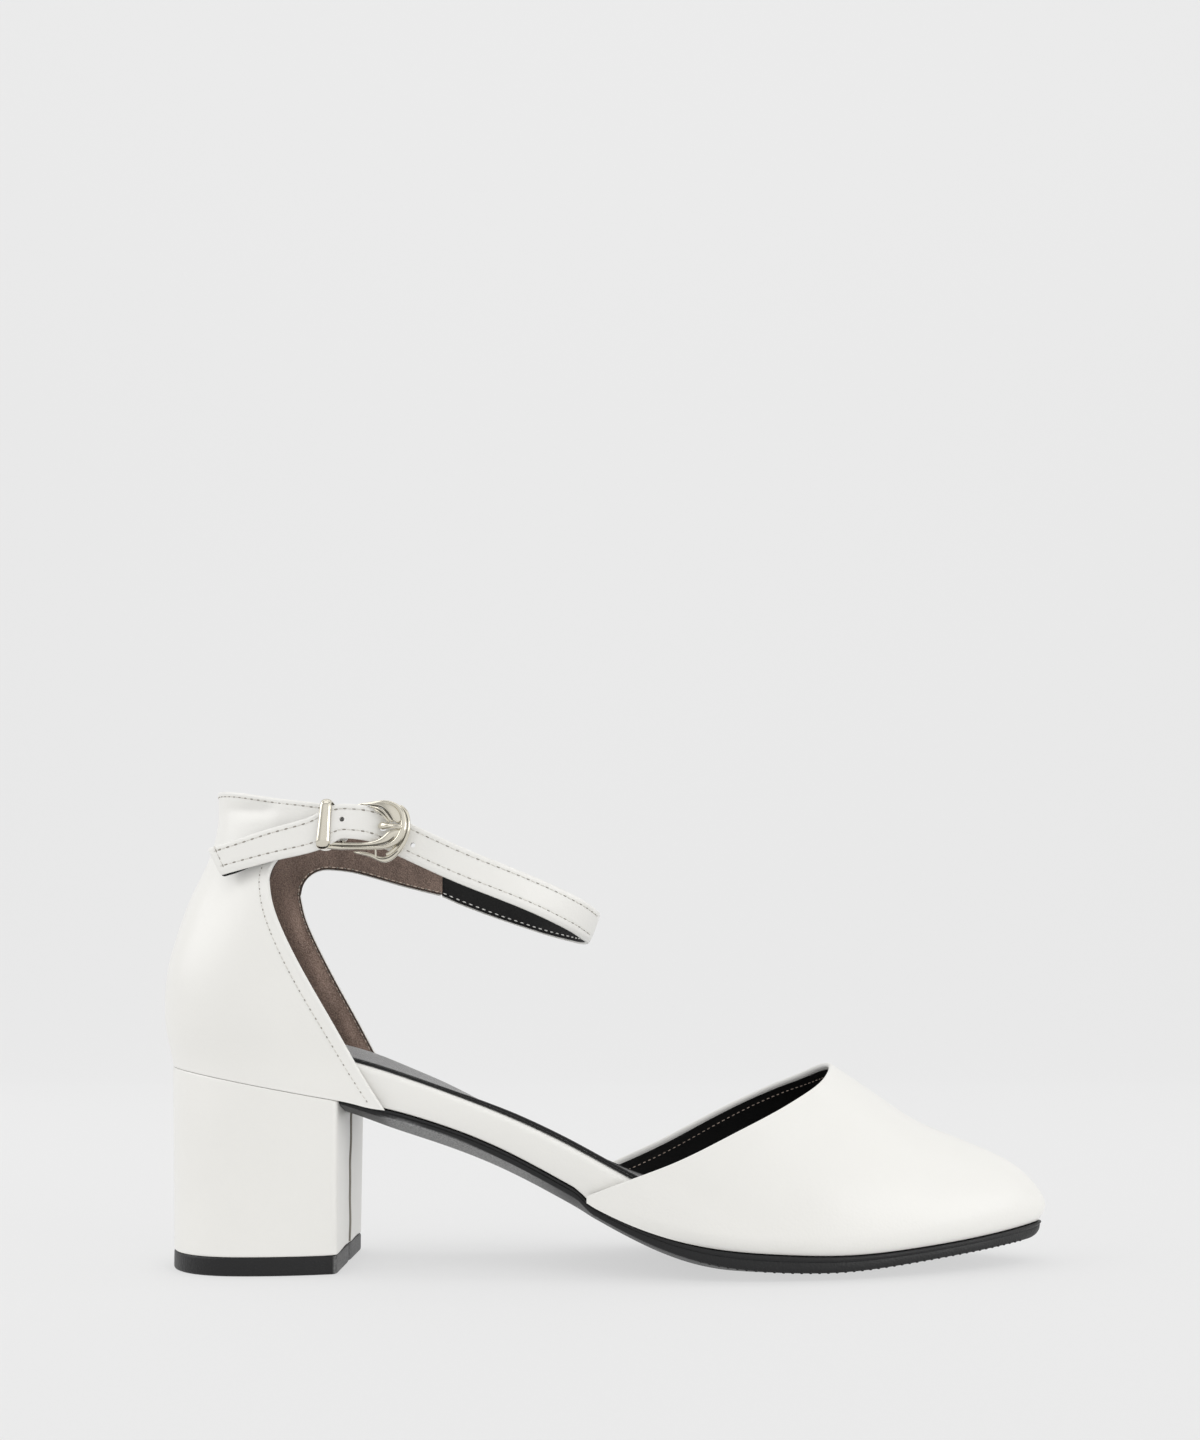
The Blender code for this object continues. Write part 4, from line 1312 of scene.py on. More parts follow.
def heel_ring(share_down, inset, seam):
    """Heel outline from its top, 0, to the floor, 1, drawn in by an inset, with a seam on the breast."""
    halves = []
    for side in (OUTER, INNER):
        edge = []
        for turn in turns(SEAT_BACK + HEEL_BACK_MARGIN, HEEL_BREAST - HEEL_CORNER_RADIUS, HEEL_COLUMNS):
            x = length_at(turn)
            share_forward = (x - SEAT_BACK) / (HEEL_BREAST - SEAT_BACK)
            x_floor = mix(HEEL_BACK_AT_FLOOR, HEEL_BREAST, share_forward)
            half = mix(half_width(x, side), heel_floor_half_width(x_floor), share_down)
            edge.append((mix(x, x_floor, share_down), side * half))
        corner = abs(edge[-1][1])
        for angle in spread(HEEL_CORNER_START, 90.0, 8):
            turn = math.radians(angle)
            x = HEEL_BREAST - HEEL_CORNER_RADIUS * (1.0 - math.sin(turn))
            edge.append((x, side * (corner - HEEL_CORNER_RADIUS * (1.0 - math.cos(turn)))))
        reach = corner - HEEL_CORNER_RADIUS
        for offset in reversed(BREAST_SEAM_OFFSETS):
            if offset < reach - BREAST_SEAM_CLEAR and (offset > 0.0 or side < 0.0):
                groove = sum(deep * float(bump_at(offset, half)) for deep, half in BREAST_SEAM_BELLS)
                edge.append((HEEL_BREAST - groove, side * offset + seam))
        halves.append(edge)
    outer, inner = halves
    middle_x = (SEAT_BACK + HEEL_BREAST) / 2.0
    ring = outer + list(reversed(inner))
    scale_x = 1.0 - inset / (HEEL_BREAST - middle_x)
    scale_y = 1.0 - inset / HEEL_FLOOR_HALF_WIDTH
    return [(middle_x + (x - middle_x) * scale_x, y * scale_y) for x, y in ring]


def breast_seam(share_down):
    """Sideways place of the wavy seam on the breast, from the heel's top, 0, to the floor, 1."""
    return sum(swing * math.sin(pace * share_down + start) for swing, pace, start in BREAST_SEAM_WAVES)


def wrap_lift(x, y):
    """How far the wrap's lower edge stands off the top lift, in slits along the breast."""
    slits = sum(rise * float(bump_at(y - middle, half)) for rise, middle, half in WRAP_SLITS)
    return WRAP_GAP + (WRAP_LIFT + slits) * smoothstep(*WRAP_SLITS_FROM, x)


def make_heel():
    rings = []
    for share in both_ends_dense(HEEL_ROWS):
        edge = min(share, 1.0 - share) * HEEL_COVER_HEIGHT
        close = max(1.0 - edge / HEEL_RIM, 0.0)
        inset = HEEL_RIM_INSET * (1.0 - math.sqrt(1.0 - close ** 2))
        ring = []
        for x, y in heel_ring(share, inset, breast_seam(share)):
            top = SOLE.read("seat", x) - SEAT_SEAM
            ring.append((x, y, mix(top, TOP_LIFT_HEIGHT + wrap_lift(x, y), share)))
        rings.append(ring)
    dress("heel_wrap", loft("heel_wrap", rings), white_leather(), "heel_block")

    breast_top = SOLE.read("seat", HEEL_BREAST) - SEAT_SEAM
    line = []
    for share in spread(*BREAST_SEAM_SPAN, 48):
        height = mix(breast_top, TOP_LIFT_HEIGHT, share)
        line.append((HEEL_BREAST - BREAST_SEAM_SINK, breast_seam(share), height))
    seam = tube("heel_breast_seam", line, [(BREAST_SEAM_LINE, BREAST_SEAM_LINE)] * len(line), sides=10)
    dark = thread("needle_hole_shadow", "needle_hole")
    dress("heel_breast_seam", seam, dark)

    rings = []
    front_grey = []
    for inset, height in LIFT_SECTION:
        ring = heel_ring(1.0, inset, 0.0)
        rings.append([(x, y, height) for x, y in ring])
        front_grey += [LIFT_FRONT_GREY * smoothstep(*LIFT_FRONT_GREY_FROM, x) for x, y in ring]
    lift = loft("heel_lift_rubber", rings)
    mark(lift, "underside", front_grey)
    dress("heel_lift_rubber", lift, sole_rubber(), "heel_top_lift")


# Strap

STRAP_RINGS = 420
STRAP_HALF_THICKNESS = 0.9
STRAP_LEATHER_BACK = -0.4
STRAP_EDGE_RADIUS = 0.55
STRAP_EDGE_TURN = 70.0
STRAP_TOP_SEAM = 1.45
STRAP_LOW_SEAM = 2.35
STRAP_END_SEAM = 1.9
STRAP_FACE = STRAP_HALF_THICKNESS - 0.1
STRAP_CROWN = 0.16
STRAP_TOP_ROLL = 0.9
STRAP_TOP_ROLL_DROP = 0.25
STRAP_LOW_ROLL = 1.5
STRAP_LOW_ROLL_DROP = 0.5
STRAP_NUDGE = 0.05
FREE_END_SLANT = 0.25
FREE_END_STOP = STRAP_STOPS - 1.2
FREE_END_ROUNDING = 0.7
FREE_END_DRAWN_IN = 0.4
FREE_END_LEAST = 0.05
STRAP_LEAN = math.radians(21.0)
STRAP_LEAN_STOPS = (2.0, 6.0)
STRAP_UPRIGHT_STOPS = (11.5, 8.0)
STRAP_LINING_INSET = 0.42
STRAP_LINING_LAP = 0.05
STRAP_LINING_CORNER = (0.15, 0.12)

# How the lining comes out below the leather towards the free end: amount, and where it starts and ends
STRAP_LINING_PEEKS = ((0.5, 13.0, 6.0), (0.3, 9.0, 3.0))

# Holes of the strap in the side view, the middle one for the prong: place and radius
STRAP_HOLES = ((54.4, 122.6, 0.68), (65.4, 120.7, 1.15), (73.4, 115.9, 0.68))
PUNCH_SIDES = 28
PUNCH_REACH = (-34.0, -26.0)


def strap_middle(stop):
    return Vector([STRAP_ROUTE.read(name, stop) for name in ("x", "y", "z")])


def strap_frame(stop):
    """Middle of the strap with the directions across it and out of its face, which tip at the front."""
    ahead = strap_middle(min(stop + STRAP_NUDGE, STRAP_STOPS))
    run = ahead - strap_middle(max(stop - STRAP_NUDGE, 0.0))
    run.normalize()
    upwards = Vector((0.0, 0.0, 1.0))
    square = (upwards - run * run.dot(upwards)).normalized()
    outwards = square.cross(run)
    rise = upwards.lerp(square, smoothstep(0.0, 1.0, stop)).normalized()
    lean = STRAP_LEAN * smoothstep(*STRAP_LEAN_STOPS, stop) * smoothstep(*STRAP_UPRIGHT_STOPS, stop)
    leaning = rise * math.cos(lean) + outwards * math.sin(lean)
    return strap_middle(stop), leaning, outwards * math.cos(lean) - rise * math.sin(lean)


def strap_half_width(stop):
    return mix(STRAP_WIDTH, STRAP_END_WIDTH, smoothstep(STRAP_TAPER_STOP, STRAP_STOPS, stop)) / 2.0


def strap_point(stop, across, out):
    """Place on the strap. Towards the free end the upper edge runs ahead of the lower one."""
    middle, rise, outwards = strap_frame(stop)
    run = outwards.cross(rise)
    ahead = FREE_END_SLANT * smoothstep(FREE_END_STOP, STRAP_STOPS, stop) * across
    return middle + rise * across + outwards * out + run * ahead


def strap_section(half, to_end):
    """Section of the leather band: turned edges, a seam groove along each and a slight crown."""
    section = []
    flat = half - STRAP_EDGE_RADIUS
    end_groove = float(bump_at(to_end - STRAP_END_SEAM, SEAM_HALF_WIDTH))
    for share in spread(-1.0, 1.0, 53):
        across = flat * math.sin(share * math.pi / 2.0)
        from_top = half - across
        from_low = half + across
        top_groove = float(bump_at(from_top - STRAP_TOP_SEAM, SEAM_HALF_WIDTH))
        low_groove = float(bump_at(from_low - STRAP_LOW_SEAM, SEAM_HALF_WIDTH))
        groove = max(top_groove, low_groove)
        if from_top > STRAP_TOP_SEAM and from_low > STRAP_LOW_SEAM:
            groove = max(groove, end_groove)
        top_drop = STRAP_TOP_ROLL_DROP * max(1.0 - from_top / STRAP_TOP_ROLL, 0.0) ** 2
        low_drop = STRAP_LOW_ROLL_DROP * max(1.0 - from_low / STRAP_LOW_ROLL, 0.0) ** 2
        crown = STRAP_CROWN * (1.0 - (across / half) ** 2)
        section.append((across, STRAP_FACE + crown - top_drop - low_drop - SEAM_DEPTH * groove))
    back = STRAP_LEATHER_BACK
    for side, first_angle in ((1.0, STRAP_EDGE_TURN), (-1.0, 180.0 + STRAP_EDGE_TURN)):
        reach = (section[-1 if side > 0.0 else 0][1] - back) / 2.0
        for angle in spread(first_angle, first_angle - 2.0 * STRAP_EDGE_TURN, 9):
            turn = math.radians(angle)
            across = side * flat + STRAP_EDGE_RADIUS * math.cos(turn)
            section.append((across, back + reach + reach * math.sin(turn)))
        if side > 0.0:
            section += [(across, back) for across in spread(flat, -flat, 9)]
    return section


def strap_lengths():
    """Length along the strap at each of its rings."""
    stops = spread(0.0, STRAP_STOPS, STRAP_RINGS)
    places = np.array([strap_middle(stop) for stop in stops])
    steps = np.linalg.norm(np.diff(places, axis=0), axis=1)
    return np.array(stops), np.concatenate(([0.0], np.cumsum(steps)))


def strap_band(name, section_at):
    """Loft along the strap, its free end drawn in over the last rings."""
    stops, lengths = strap_lengths()
    rings = []
    for stop, length in zip(stops, lengths):
        to_end = lengths[-1] - length
        close = max(1.0 - to_end / FREE_END_ROUNDING, 0.0)
        squeeze = math.sqrt(max(1.0 - close ** 2, FREE_END_LEAST))
        section = section_at(strap_half_width(stop) - FREE_END_DRAWN_IN * (1.0 - squeeze), to_end)
        centre = sum(out for across, out in section) / len(section)
        rings.append([
            tuple(strap_point(stop, across, centre + (out - centre) * squeeze))
            for across, out in section
        ])
    return loft(name, rings)


def lining_section(half, to_end):
    """Thin flat section of the strap's lining, which peeks out below the free end."""
    peek = sum(most * smoothstep(first, last, to_end) for most, first, last in STRAP_LINING_PEEKS)
    top = half - STRAP_LINING_INSET
    low = STRAP_LINING_INSET - half - peek
    front = STRAP_LEATHER_BACK + STRAP_LINING_LAP
    back = -STRAP_HALF_THICKNESS
    corner, rise = STRAP_LINING_CORNER
    outer = [(across, front) for across in spread(low, top, 9)]
    inner = [(across, back) for across in spread(top - corner, low + corner, 9)]
    return outer + [(top, back + rise)] + inner + [(low, back + rise)]


def hole_cutter(name):
    """Round punches through the strap at its holes."""
    points = []
    faces = []
    for x, z, radius in STRAP_HOLES:
        near = len(points)
        far = near + PUNCH_SIDES
        for y in PUNCH_REACH:
            for side in range(PUNCH_SIDES):
                turn = 2.0 * math.pi * side / PUNCH_SIDES
                points.append((x + radius * math.cos(turn), y, z + radius * math.sin(turn)))
        for side in range(PUNCH_SIDES):
            beside = (side + 1) % PUNCH_SIDES
            faces.append((near + side, near + beside, far + beside, far + side))
        faces.append(tuple(range(near, far)))
        faces.append(tuple(reversed(range(far, far + PUNCH_SIDES))))
    mesh = new_mesh(name, points, faces)
    turn_outwards(mesh)
    return add_object(name, mesh)


def punched(mesh, cutter):
    """The same band with its holes cut."""
    piece = add_object("band_to_punch", mesh)
    cut = piece.modifiers.new("holes", "BOOLEAN")
    cut.operation = "DIFFERENCE"
    cut.object = cutter
    graph = bpy.context.evaluated_depsgraph_get()
    result = bpy.data.meshes.new_from_object(piece.evaluated_get(graph))
    bpy.data.objects.remove(piece)
    shade(result)
    return result


def make_strap():
    cutter = hole_cutter("strap_punches")
    band = punched(strap_band("ankle_strap_band", strap_section), cutter)
    lining = punched(strap_band("ankle_strap_lining", lining_section), cutter)
    punches = cutter.data
    bpy.data.objects.remove(cutter)
    bpy.data.meshes.remove(punches)
    dress("ankle_strap_band", band, white_leather(), "ankle_strap")
    dress("ankle_strap_lining", lining, black_lining())


# Buckle

# Columns of a strand: place in the side view, how far it lies in front of the frame's bend, and half sizes
STRAND = ("x", "z", "front", "wide", "deep")


def strand_rows(rows):
    """Table of a strand, with its rows numbered from one end to the other."""
    return Table(" ".join(("stop", *STRAND)), [(stop, *row) for stop, row in enumerate(rows)])


# Strands of the cast frame
BUCKLE_STRANDS = (
    # Rim: lower rail, nose and thin upper rail
    strand_rows([
        (49.4, 115.15, 3.2, 0.44, 0.60),
        (54.0, 115.0, 2.4, 0.45, 0.62),
        (59.0, 114.8, 0.6, 0.47, 0.66),
        (63.5, 114.75, 0.0, 0.52, 0.72),
        (66.6, 114.95, 0.0, 0.58, 0.80),
        (69.0, 116.0, 0.0, 0.76, 0.85),
        (70.5, 117.6, 0.0, 0.92, 0.90),
        (71.3, 119.8, 0.0, 0.92, 0.90),
        (71.4, 122.0, 0.0, 0.85, 0.88),
        (70.8, 124.3, 0.0, 0.72, 0.80),
        (69.3, 126.0, -0.05, 0.55, 0.68),
        (67.0, 127.0, -0.15, 0.42, 0.55),
        (64.0, 127.2, -0.4, 0.32, 0.45),
        (59.0, 127.05, -1.6, 0.22, 0.35),
        (53.0, 126.9, -1.8, 0.22, 0.35),
    ]),
    # Upper strand of the lower rail, which widens into the lower leaf
    strand_rows([
        (49.6, 116.2, 3.0, 0.50, 0.55),
        (54.0, 116.1, 2.2, 0.48, 0.55),
        (59.0, 115.85, 0.5, 0.44, 0.55),
        (62.5, 115.95, 0.05, 0.50, 0.58),
        (64.8, 116.35, 0.05, 0.72, 0.60),
        (66.6, 117.0, 0.05, 1.10, 0.62),
        (68.2, 118.0, 0.0, 1.30, 0.62),
        (69.6, 118.7, -0.05, 0.95, 0.60),
        (70.8, 119.1, -0.1, 0.45, 0.50),
    ]),
    # Upper leaf
    strand_rows([
        (59.6, 127.0, -0.4, 0.20, 0.30),
        (61.2, 126.85, -0.3, 0.38, 0.40),
        (64.4, 126.65, -0.15, 0.62, 0.45),
        (66.9, 125.8, -0.1, 1.15, 0.45),
        (68.6, 124.4, -0.1, 1.45, 0.45),
        (69.6, 122.8, -0.1, 1.35, 0.45),
        (70.4, 121.5, -0.15, 0.70, 0.45),
    ]),
    # Bright ridge inside the upper leaf
    strand_rows([
        (61.8, 126.15, -0.7, 0.20, 0.35),
        (64.0, 125.6, -0.3, 0.34, 0.50),
        (65.9, 124.5, -0.1, 0.42, 0.60),
        (67.2, 123.0, -0.05, 0.42, 0.60),
        (68.3, 121.7, -0.25, 0.30, 0.45),
    ]),
    # Inner ridge
    strand_rows([
        (63.2, 125.2, -0.9, 0.18, 0.30),
        (64.6, 124.6, -0.6, 0.30, 0.45),
        (65.8, 123.55, -0.5, 0.36, 0.50),
        (66.7, 122.45, -0.6, 0.34, 0.45),
        (67.4, 121.6, -0.7, 0.24, 0.40),
    ]),
    # Back flange, which shows beside the nose and below the lower rail
    strand_rows([
        (70.2, 126.2, -1.2, 0.40, 0.60),
        (71.9, 124.4, -1.3, 0.50, 0.70),
        (72.5, 121.8, -1.4, 0.55, 0.80),
        (72.3, 119.1, -1.5, 0.60, 0.80),
        (71.4, 116.5, -1.6, 0.64, 0.80),
        (70.0, 114.2, -1.7, 0.70, 0.80),
        (68.2, 112.5, -1.8, 0.78, 0.80),
        (66.3, 111.6, -1.7, 0.80, 0.75),
        (64.4, 111.9, -1.5, 0.62, 0.70),
        (62.3, 112.8, -1.2, 0.50, 0.65),
        (60.2, 113.4, -0.8, 0.46, 0.55),
        (57.2, 114.0, -0.4, 0.28, 0.40),
    ]),
    # Web between the nose and the flange
    strand_rows([
        (66.4, 112.9, -1.6, 0.35, 0.30),
        (68.2, 113.7, -1.7, 0.75, 0.35),
        (69.9, 115.4, -1.7, 0.85, 0.35),
        (71.3, 118.0, -1.6, 0.65, 0.35),
        (71.8, 120.4, -1.5, 0.40, 0.30),
    ]),
    # Post between the lower rail and the flange
    strand_rows([
        (63.6, 112.2, -1.2, 0.24, 0.30),
        (63.6, 115.0, -0.4, 0.24, 0.30),
    ]),
)

# Painted shade: dark lines of darker nickel in the grooves between the strands
BUCKLE_GROOVE_SHADES = (
    # Between the upper leaf and its ridge
    strand_rows([
        (61.3, 126.65, 0.1, 0.12, 0.14),
        (62.9, 126.25, 0.15, 0.15, 0.15),
        (64.9, 125.8, 0.3, 0.16, 0.15),
        (66.4, 124.8, 0.42, 0.17, 0.15),
        (67.4, 123.4, 0.45, 0.17, 0.15),
        (68.4, 122.1, 0.3, 0.14, 0.14),
    ]),
    # Inside the ridge
    strand_rows([
        (63.7, 125.3, -0.05, 0.12, 0.14),
        (65.2, 124.3, 0.2, 0.16, 0.15),
        (66.3, 123.5, 0.3, 0.16, 0.15),
        (67.0, 122.7, 0.3, 0.12, 0.14),
    ]),
    # Between the nose and the flange
    strand_rows([
        (71.2, 125.0, -0.6, 0.12, 0.14),
        (72.05, 123.2, -0.5, 0.17, 0.15),
        (72.35, 121.7, -0.5, 0.18, 0.15),
        (72.2, 119.8, -0.5, 0.18, 0.15),
        (71.6, 117.8, -0.5, 0.18, 0.15),
        (70.6, 116.2, -0.5, 0.18, 0.15),
        (69.2, 114.9, -0.5, 0.12, 0.14),
    ]),
    # Between the strands of the lower rail
    strand_rows([
        (51.9, 115.65, 3.1, 0.14, 0.15),
        (54.7, 115.55, 2.5, 0.16, 0.15),
        (58.9, 115.33, 0.95, 0.16, 0.15),
        (63.0, 115.4, 0.42, 0.17, 0.15),
        (65.8, 115.75, 0.55, 0.18, 0.15),
        (67.5, 116.45, 0.55, 0.18, 0.15),
        (68.9, 117.5, 0.5, 0.14, 0.14),
    ]),
    # Along the flange
    strand_rows([
        (63.6, 112.2, -0.85, 0.10, 0.12),
        (65.2, 111.75, -0.85, 0.14, 0.14),
        (66.8, 111.9, -0.95, 0.15, 0.14),
        (68.3, 112.65, -0.95, 0.15, 0.14),
        (69.8, 113.9, -0.9, 0.12, 0.12),
    ]),
)

# Middle line of the prong from its hook to its tip
PRONG_ROUTE = Table("stop x y z radius", [
    (0, 63.9, -27.6, 120.8, 0.55),
    (1, 64.6, -28.9, 120.85, 0.72),
    (2, 65.4, -30.3, 120.75, 1.0),
    (3, 66.3, -31.4, 120.65, 0.88),
    (4, 67.4, -32.2, 120.5, 0.60),
    (5, 68.8, -32.9, 120.3, 0.54),
    (6, 70.2, -33.4, 120.1, 0.54),
    (7, 71.2, -33.6, 120.0, 0.42),
])

# Other sizes of the frame and the prong
GROOVE_SHADE_TONE = 0.22
GROOVE_STEPS = 60
STRAND_STEPS = 110
STRAND_FLATNESS = 0.8
STRAND_END_STEPS = 4.0
STRAND_END_LEAST = 0.25
PRONG_STEPS = 60
BAR_RADIUS = 0.72
BAR_HALF_LENGTH = 6.2

# Hook of the prong: round the bar, then forward under the strap
HOOK_RADIUS = 1.45
HOOK_WIRE = 0.6
HOOK_HEIGHT = 121.0
HOOK_TURN = (-100.0, -330.0)
HOOK_RUN = ((58.0, -24.9, 121.0), (61.2, -25.9, 121.0), (63.4, -27.0, 120.9), (64.1, -27.8, 120.8))

# Keeper, which leans and widens towards its foot
KEEPER_FOOT = 115.5
KEEPER_TOP = 127.5
KEEPER_FRONT = -30.1
KEEPER_BACK = -23.9
KEEPER_FOOT_PLACE = 49.2
KEEPER_TOP_PLACE = 50.0
KEEPER_FOOT_HALF_WIDTH = 1.85
KEEPER_TOP_HALF_WIDTH = 1.5
KEEPER_CORNER = 1.3
KEEPER_CROWN = 0.9
KEEPER_HOLLOW = -0.05
KEEPER_SMOOTH_ANGLE = 24.0

# Leather tabs that hold the bar: lower and upper edge of each, then the sizes that both share
BAR_TABS = ((117.3, 119.7), (122.3, 124.9))
TAB_ROWS = 12
TAB_RADIUS = 1.25
TAB_FLARE = 0.0125
TAB_OUTSIDE = 8.0
TAB_INSIDE = 7.0
TAB_INSIDE_START = 0.4
TAB_TURN = (-80.0, 90.0)
TAB_LEATHER = 0.7
TAB_EDGE_RADIUS = 0.3
TAB_EDGE_STEP = 0.2


def buckle_depth(x):
    """How far out the frame lies, bent so that the strap passes over the bar and under the nose."""
    along = min(max((x - BUCKLE_BAR[0]) / BUCKLE_LENGTH, 0.0), 1.0)
    return BUCKLE_BAR[1] - BUCKLE_RISE * (1.0 - (1.0 - along) ** 2)


def tube(name, places, sizes, sides=24):
    """Bar through places, with half sizes in the side view and in depth at each of them."""
    places = [Vector(place) for place in places]
    rings = []
    last = len(places) - 1
    side_way = Vector((0.0, 1.0, 0.0))
    for number, here in enumerate(places):
        run = places[min(number + 1, last)] - places[max(number - 1, 0)]
        run.normalize()
        first = (side_way - run * run.dot(side_way)).normalized()
        second = run.cross(first)
        wide, deep = sizes[number]
        ring = []
        for side in range(sides):
            turn = 2.0 * math.pi * side / sides
            across = math.copysign(abs(math.sin(turn)) ** STRAND_FLATNESS, math.sin(turn)) * wide
            out = math.copysign(abs(math.cos(turn)) ** STRAND_FLATNESS, math.cos(turn)) * deep
            ring.append(tuple(here + first * out + second * across))
        rings.append(ring)
    return loft(name, rings)


def end_taper(number, count):
    """Share of the full size, less over the first and last rings so that the ends are round."""
    close = min(number, count - 1 - number)
    return math.sqrt(1.0 - (1.0 - min((close + STRAND_END_LEAST) / STRAND_END_STEPS, 1.0)) ** 2)


def strand(name, table, count=STRAND_STEPS):
    """One strand of the frame, carried onto the frame's bend."""
    places = []
    sizes = []
    for number, stop in enumerate(spread(0.0, table.knots[-1], count)):
        x, z, front, wide, deep = (table.read(column, stop) for column in STRAND)
        taper = end_taper(number, count)
        places.append((x, buckle_depth(x) - front, z))
        sizes.append((wide * taper, deep * taper))
    return tube(name, places, sizes)


def prong_tube(name):
    places = []
    sizes = []
    for number, stop in enumerate(spread(0.0, PRONG_ROUTE.knots[-1], PRONG_STEPS)):
        places.append([PRONG_ROUTE.read(column, stop) for column in ("x", "y", "z")])
        radius = PRONG_ROUTE.read("radius", stop) * end_taper(number, PRONG_STEPS)
        sizes.append((radius, radius))
    return tube(name, places, sizes)


def joined(name, meshes):
    """One mesh of several."""
    shape = bmesh.new()
    for mesh in meshes:
        shape.from_mesh(mesh)
    whole = bpy.data.meshes.new(name)
    shape.to_mesh(whole)
    shape.free()
    for mesh in meshes:
        bpy.data.meshes.remove(mesh)
    shade(whole)
    return whole


def keeper_mesh(name):
    """Polished loop round ear and strap: a half-round band that leans and is wider at its foot."""
    facets = []
    for angle in spread(-90.0, 90.0, 15):
        turn = math.radians(angle)
        facets.append((math.sin(turn), KEEPER_CROWN * math.cos(turn)))
    facets.append((0.0, KEEPER_HOLLOW))
    corners = (
        (KEEPER_BACK - KEEPER_CORNER, KEEPER_TOP - KEEPER_CORNER, 0.0),
        (KEEPER_FRONT + KEEPER_CORNER, KEEPER_TOP - KEEPER_CORNER, 90.0),
        (KEEPER_FRONT + KEEPER_CORNER, KEEPER_FOOT + KEEPER_CORNER, 180.0),
        (KEEPER_BACK - KEEPER_CORNER, KEEPER_FOOT + KEEPER_CORNER, 270.0),
    )
    rings = []
    for y_round, z_round, start in corners:
        for angle in spread(start, start + 90.0, 9):
            turn = math.radians(angle)
            ring = []
            for along, out in facets:
                reach = KEEPER_CORNER + out
                z = z_round + reach * math.sin(turn)
                share = (z - KEEPER_FOOT) / (KEEPER_TOP - KEEPER_FOOT)
                half = mix(KEEPER_FOOT_HALF_WIDTH, KEEPER_TOP_HALF_WIDTH, share)
                x = mix(KEEPER_FOOT_PLACE, KEEPER_TOP_PLACE, share) + along * half
                ring.append((x, y_round + reach * math.cos(turn), z))
            rings.append(ring)
    mesh = loft(name, rings, joined=True)
    shade(mesh, KEEPER_SMOOTH_ANGLE)
    return mesh


def bar_tab(name, z_low, z_high):
    """Leather loop that holds the bar: along the ear's outside, round the bar and back inside."""
    x_bar, y_bar = BUCKLE_BAR[:2]
    path = []
    for back in spread(TAB_OUTSIDE, 0.0, 8):
        path.append((x_bar - back, y_bar - TAB_RADIUS - TAB_FLARE * back))
    for angle in spread(*TAB_TURN, 14):
        turn = math.radians(angle)
        path.append((x_bar + TAB_RADIUS * math.cos(turn), y_bar + TAB_RADIUS * math.sin(turn)))
    for back in spread(TAB_INSIDE_START, TAB_INSIDE, 8):
        path.append((x_bar - back, y_bar + TAB_RADIUS + TAB_FLARE * back))
    points = [(x, y, z) for x, y in path for z in spread(z_low, z_high, TAB_ROWS)]
    numbers = [[place * TAB_ROWS + row for row in range(TAB_ROWS)] for place in range(len(path))]
    across = [min(row, TAB_ROWS - 1 - row) * TAB_EDGE_STEP for row in range(TAB_ROWS)]
    to_edge = across * len(path)
    return rounded_wall(name, points, grid_faces(numbers), to_edge, TAB_LEATHER, TAB_EDGE_RADIUS)


def make_buckle():
    x, y, z = BUCKLE_BAR
    heights = spread(z - BAR_HALF_LENGTH, z + BAR_HALF_LENGTH, 16)
    bar = tube("bar", [(x, y, height) for height in heights], [(BAR_RADIUS, BAR_RADIUS)] * len(heights))
    strands = [strand("strand", table) for table in BUCKLE_STRANDS]
    frame_mesh = joined("buckle_frame_metal", strands + [bar])
    dress("buckle_frame_metal", frame_mesh, buckle_metal(), "buckle_frame")
    # Painted shade in the grooves, as thin strands of darker nickel
    lines = [strand("groove", table, GROOVE_STEPS) for table in BUCKLE_GROOVE_SHADES]
    shaded = buckle_metal("shaded_nickel", GROOVE_SHADE_TONE)
    dress("buckle_groove_lines", joined("buckle_groove_lines", lines), shaded)

    places = []
    for angle in spread(*HOOK_TURN, 30):
        turn = math.radians(angle)
        places.append((x + HOOK_RADIUS * math.cos(turn), y + HOOK_RADIUS * math.sin(turn), HOOK_HEIGHT))
    places += HOOK_RUN
    hook = tube("hook", places, [(HOOK_WIRE, HOOK_WIRE)] * len(places))
    prong_mesh = joined("buckle_prong_metal", [prong_tube("prong"), hook])
    dress("buckle_prong_metal", prong_mesh, buckle_metal(), "buckle_prong")

    keeper = keeper_mesh("strap_keeper_metal")
    dress("strap_keeper_metal", keeper, buckle_metal(), "strap_keeper")
    tabs = joined("buckle_bar_tabs", [bar_tab("tab", low, high) for low, high in BAR_TABS])
    dress("buckle_bar_tabs", tabs, white_leather())


# Stitches and tread, repeated along paths

PATH_INPUTS = (
    ("Paths", "Geometry"),
    ("Pitch", "Float"),
    ("Shape Size", "Vector"),
    ("Shift", "Vector"),
    ("Material", "Material"),
)


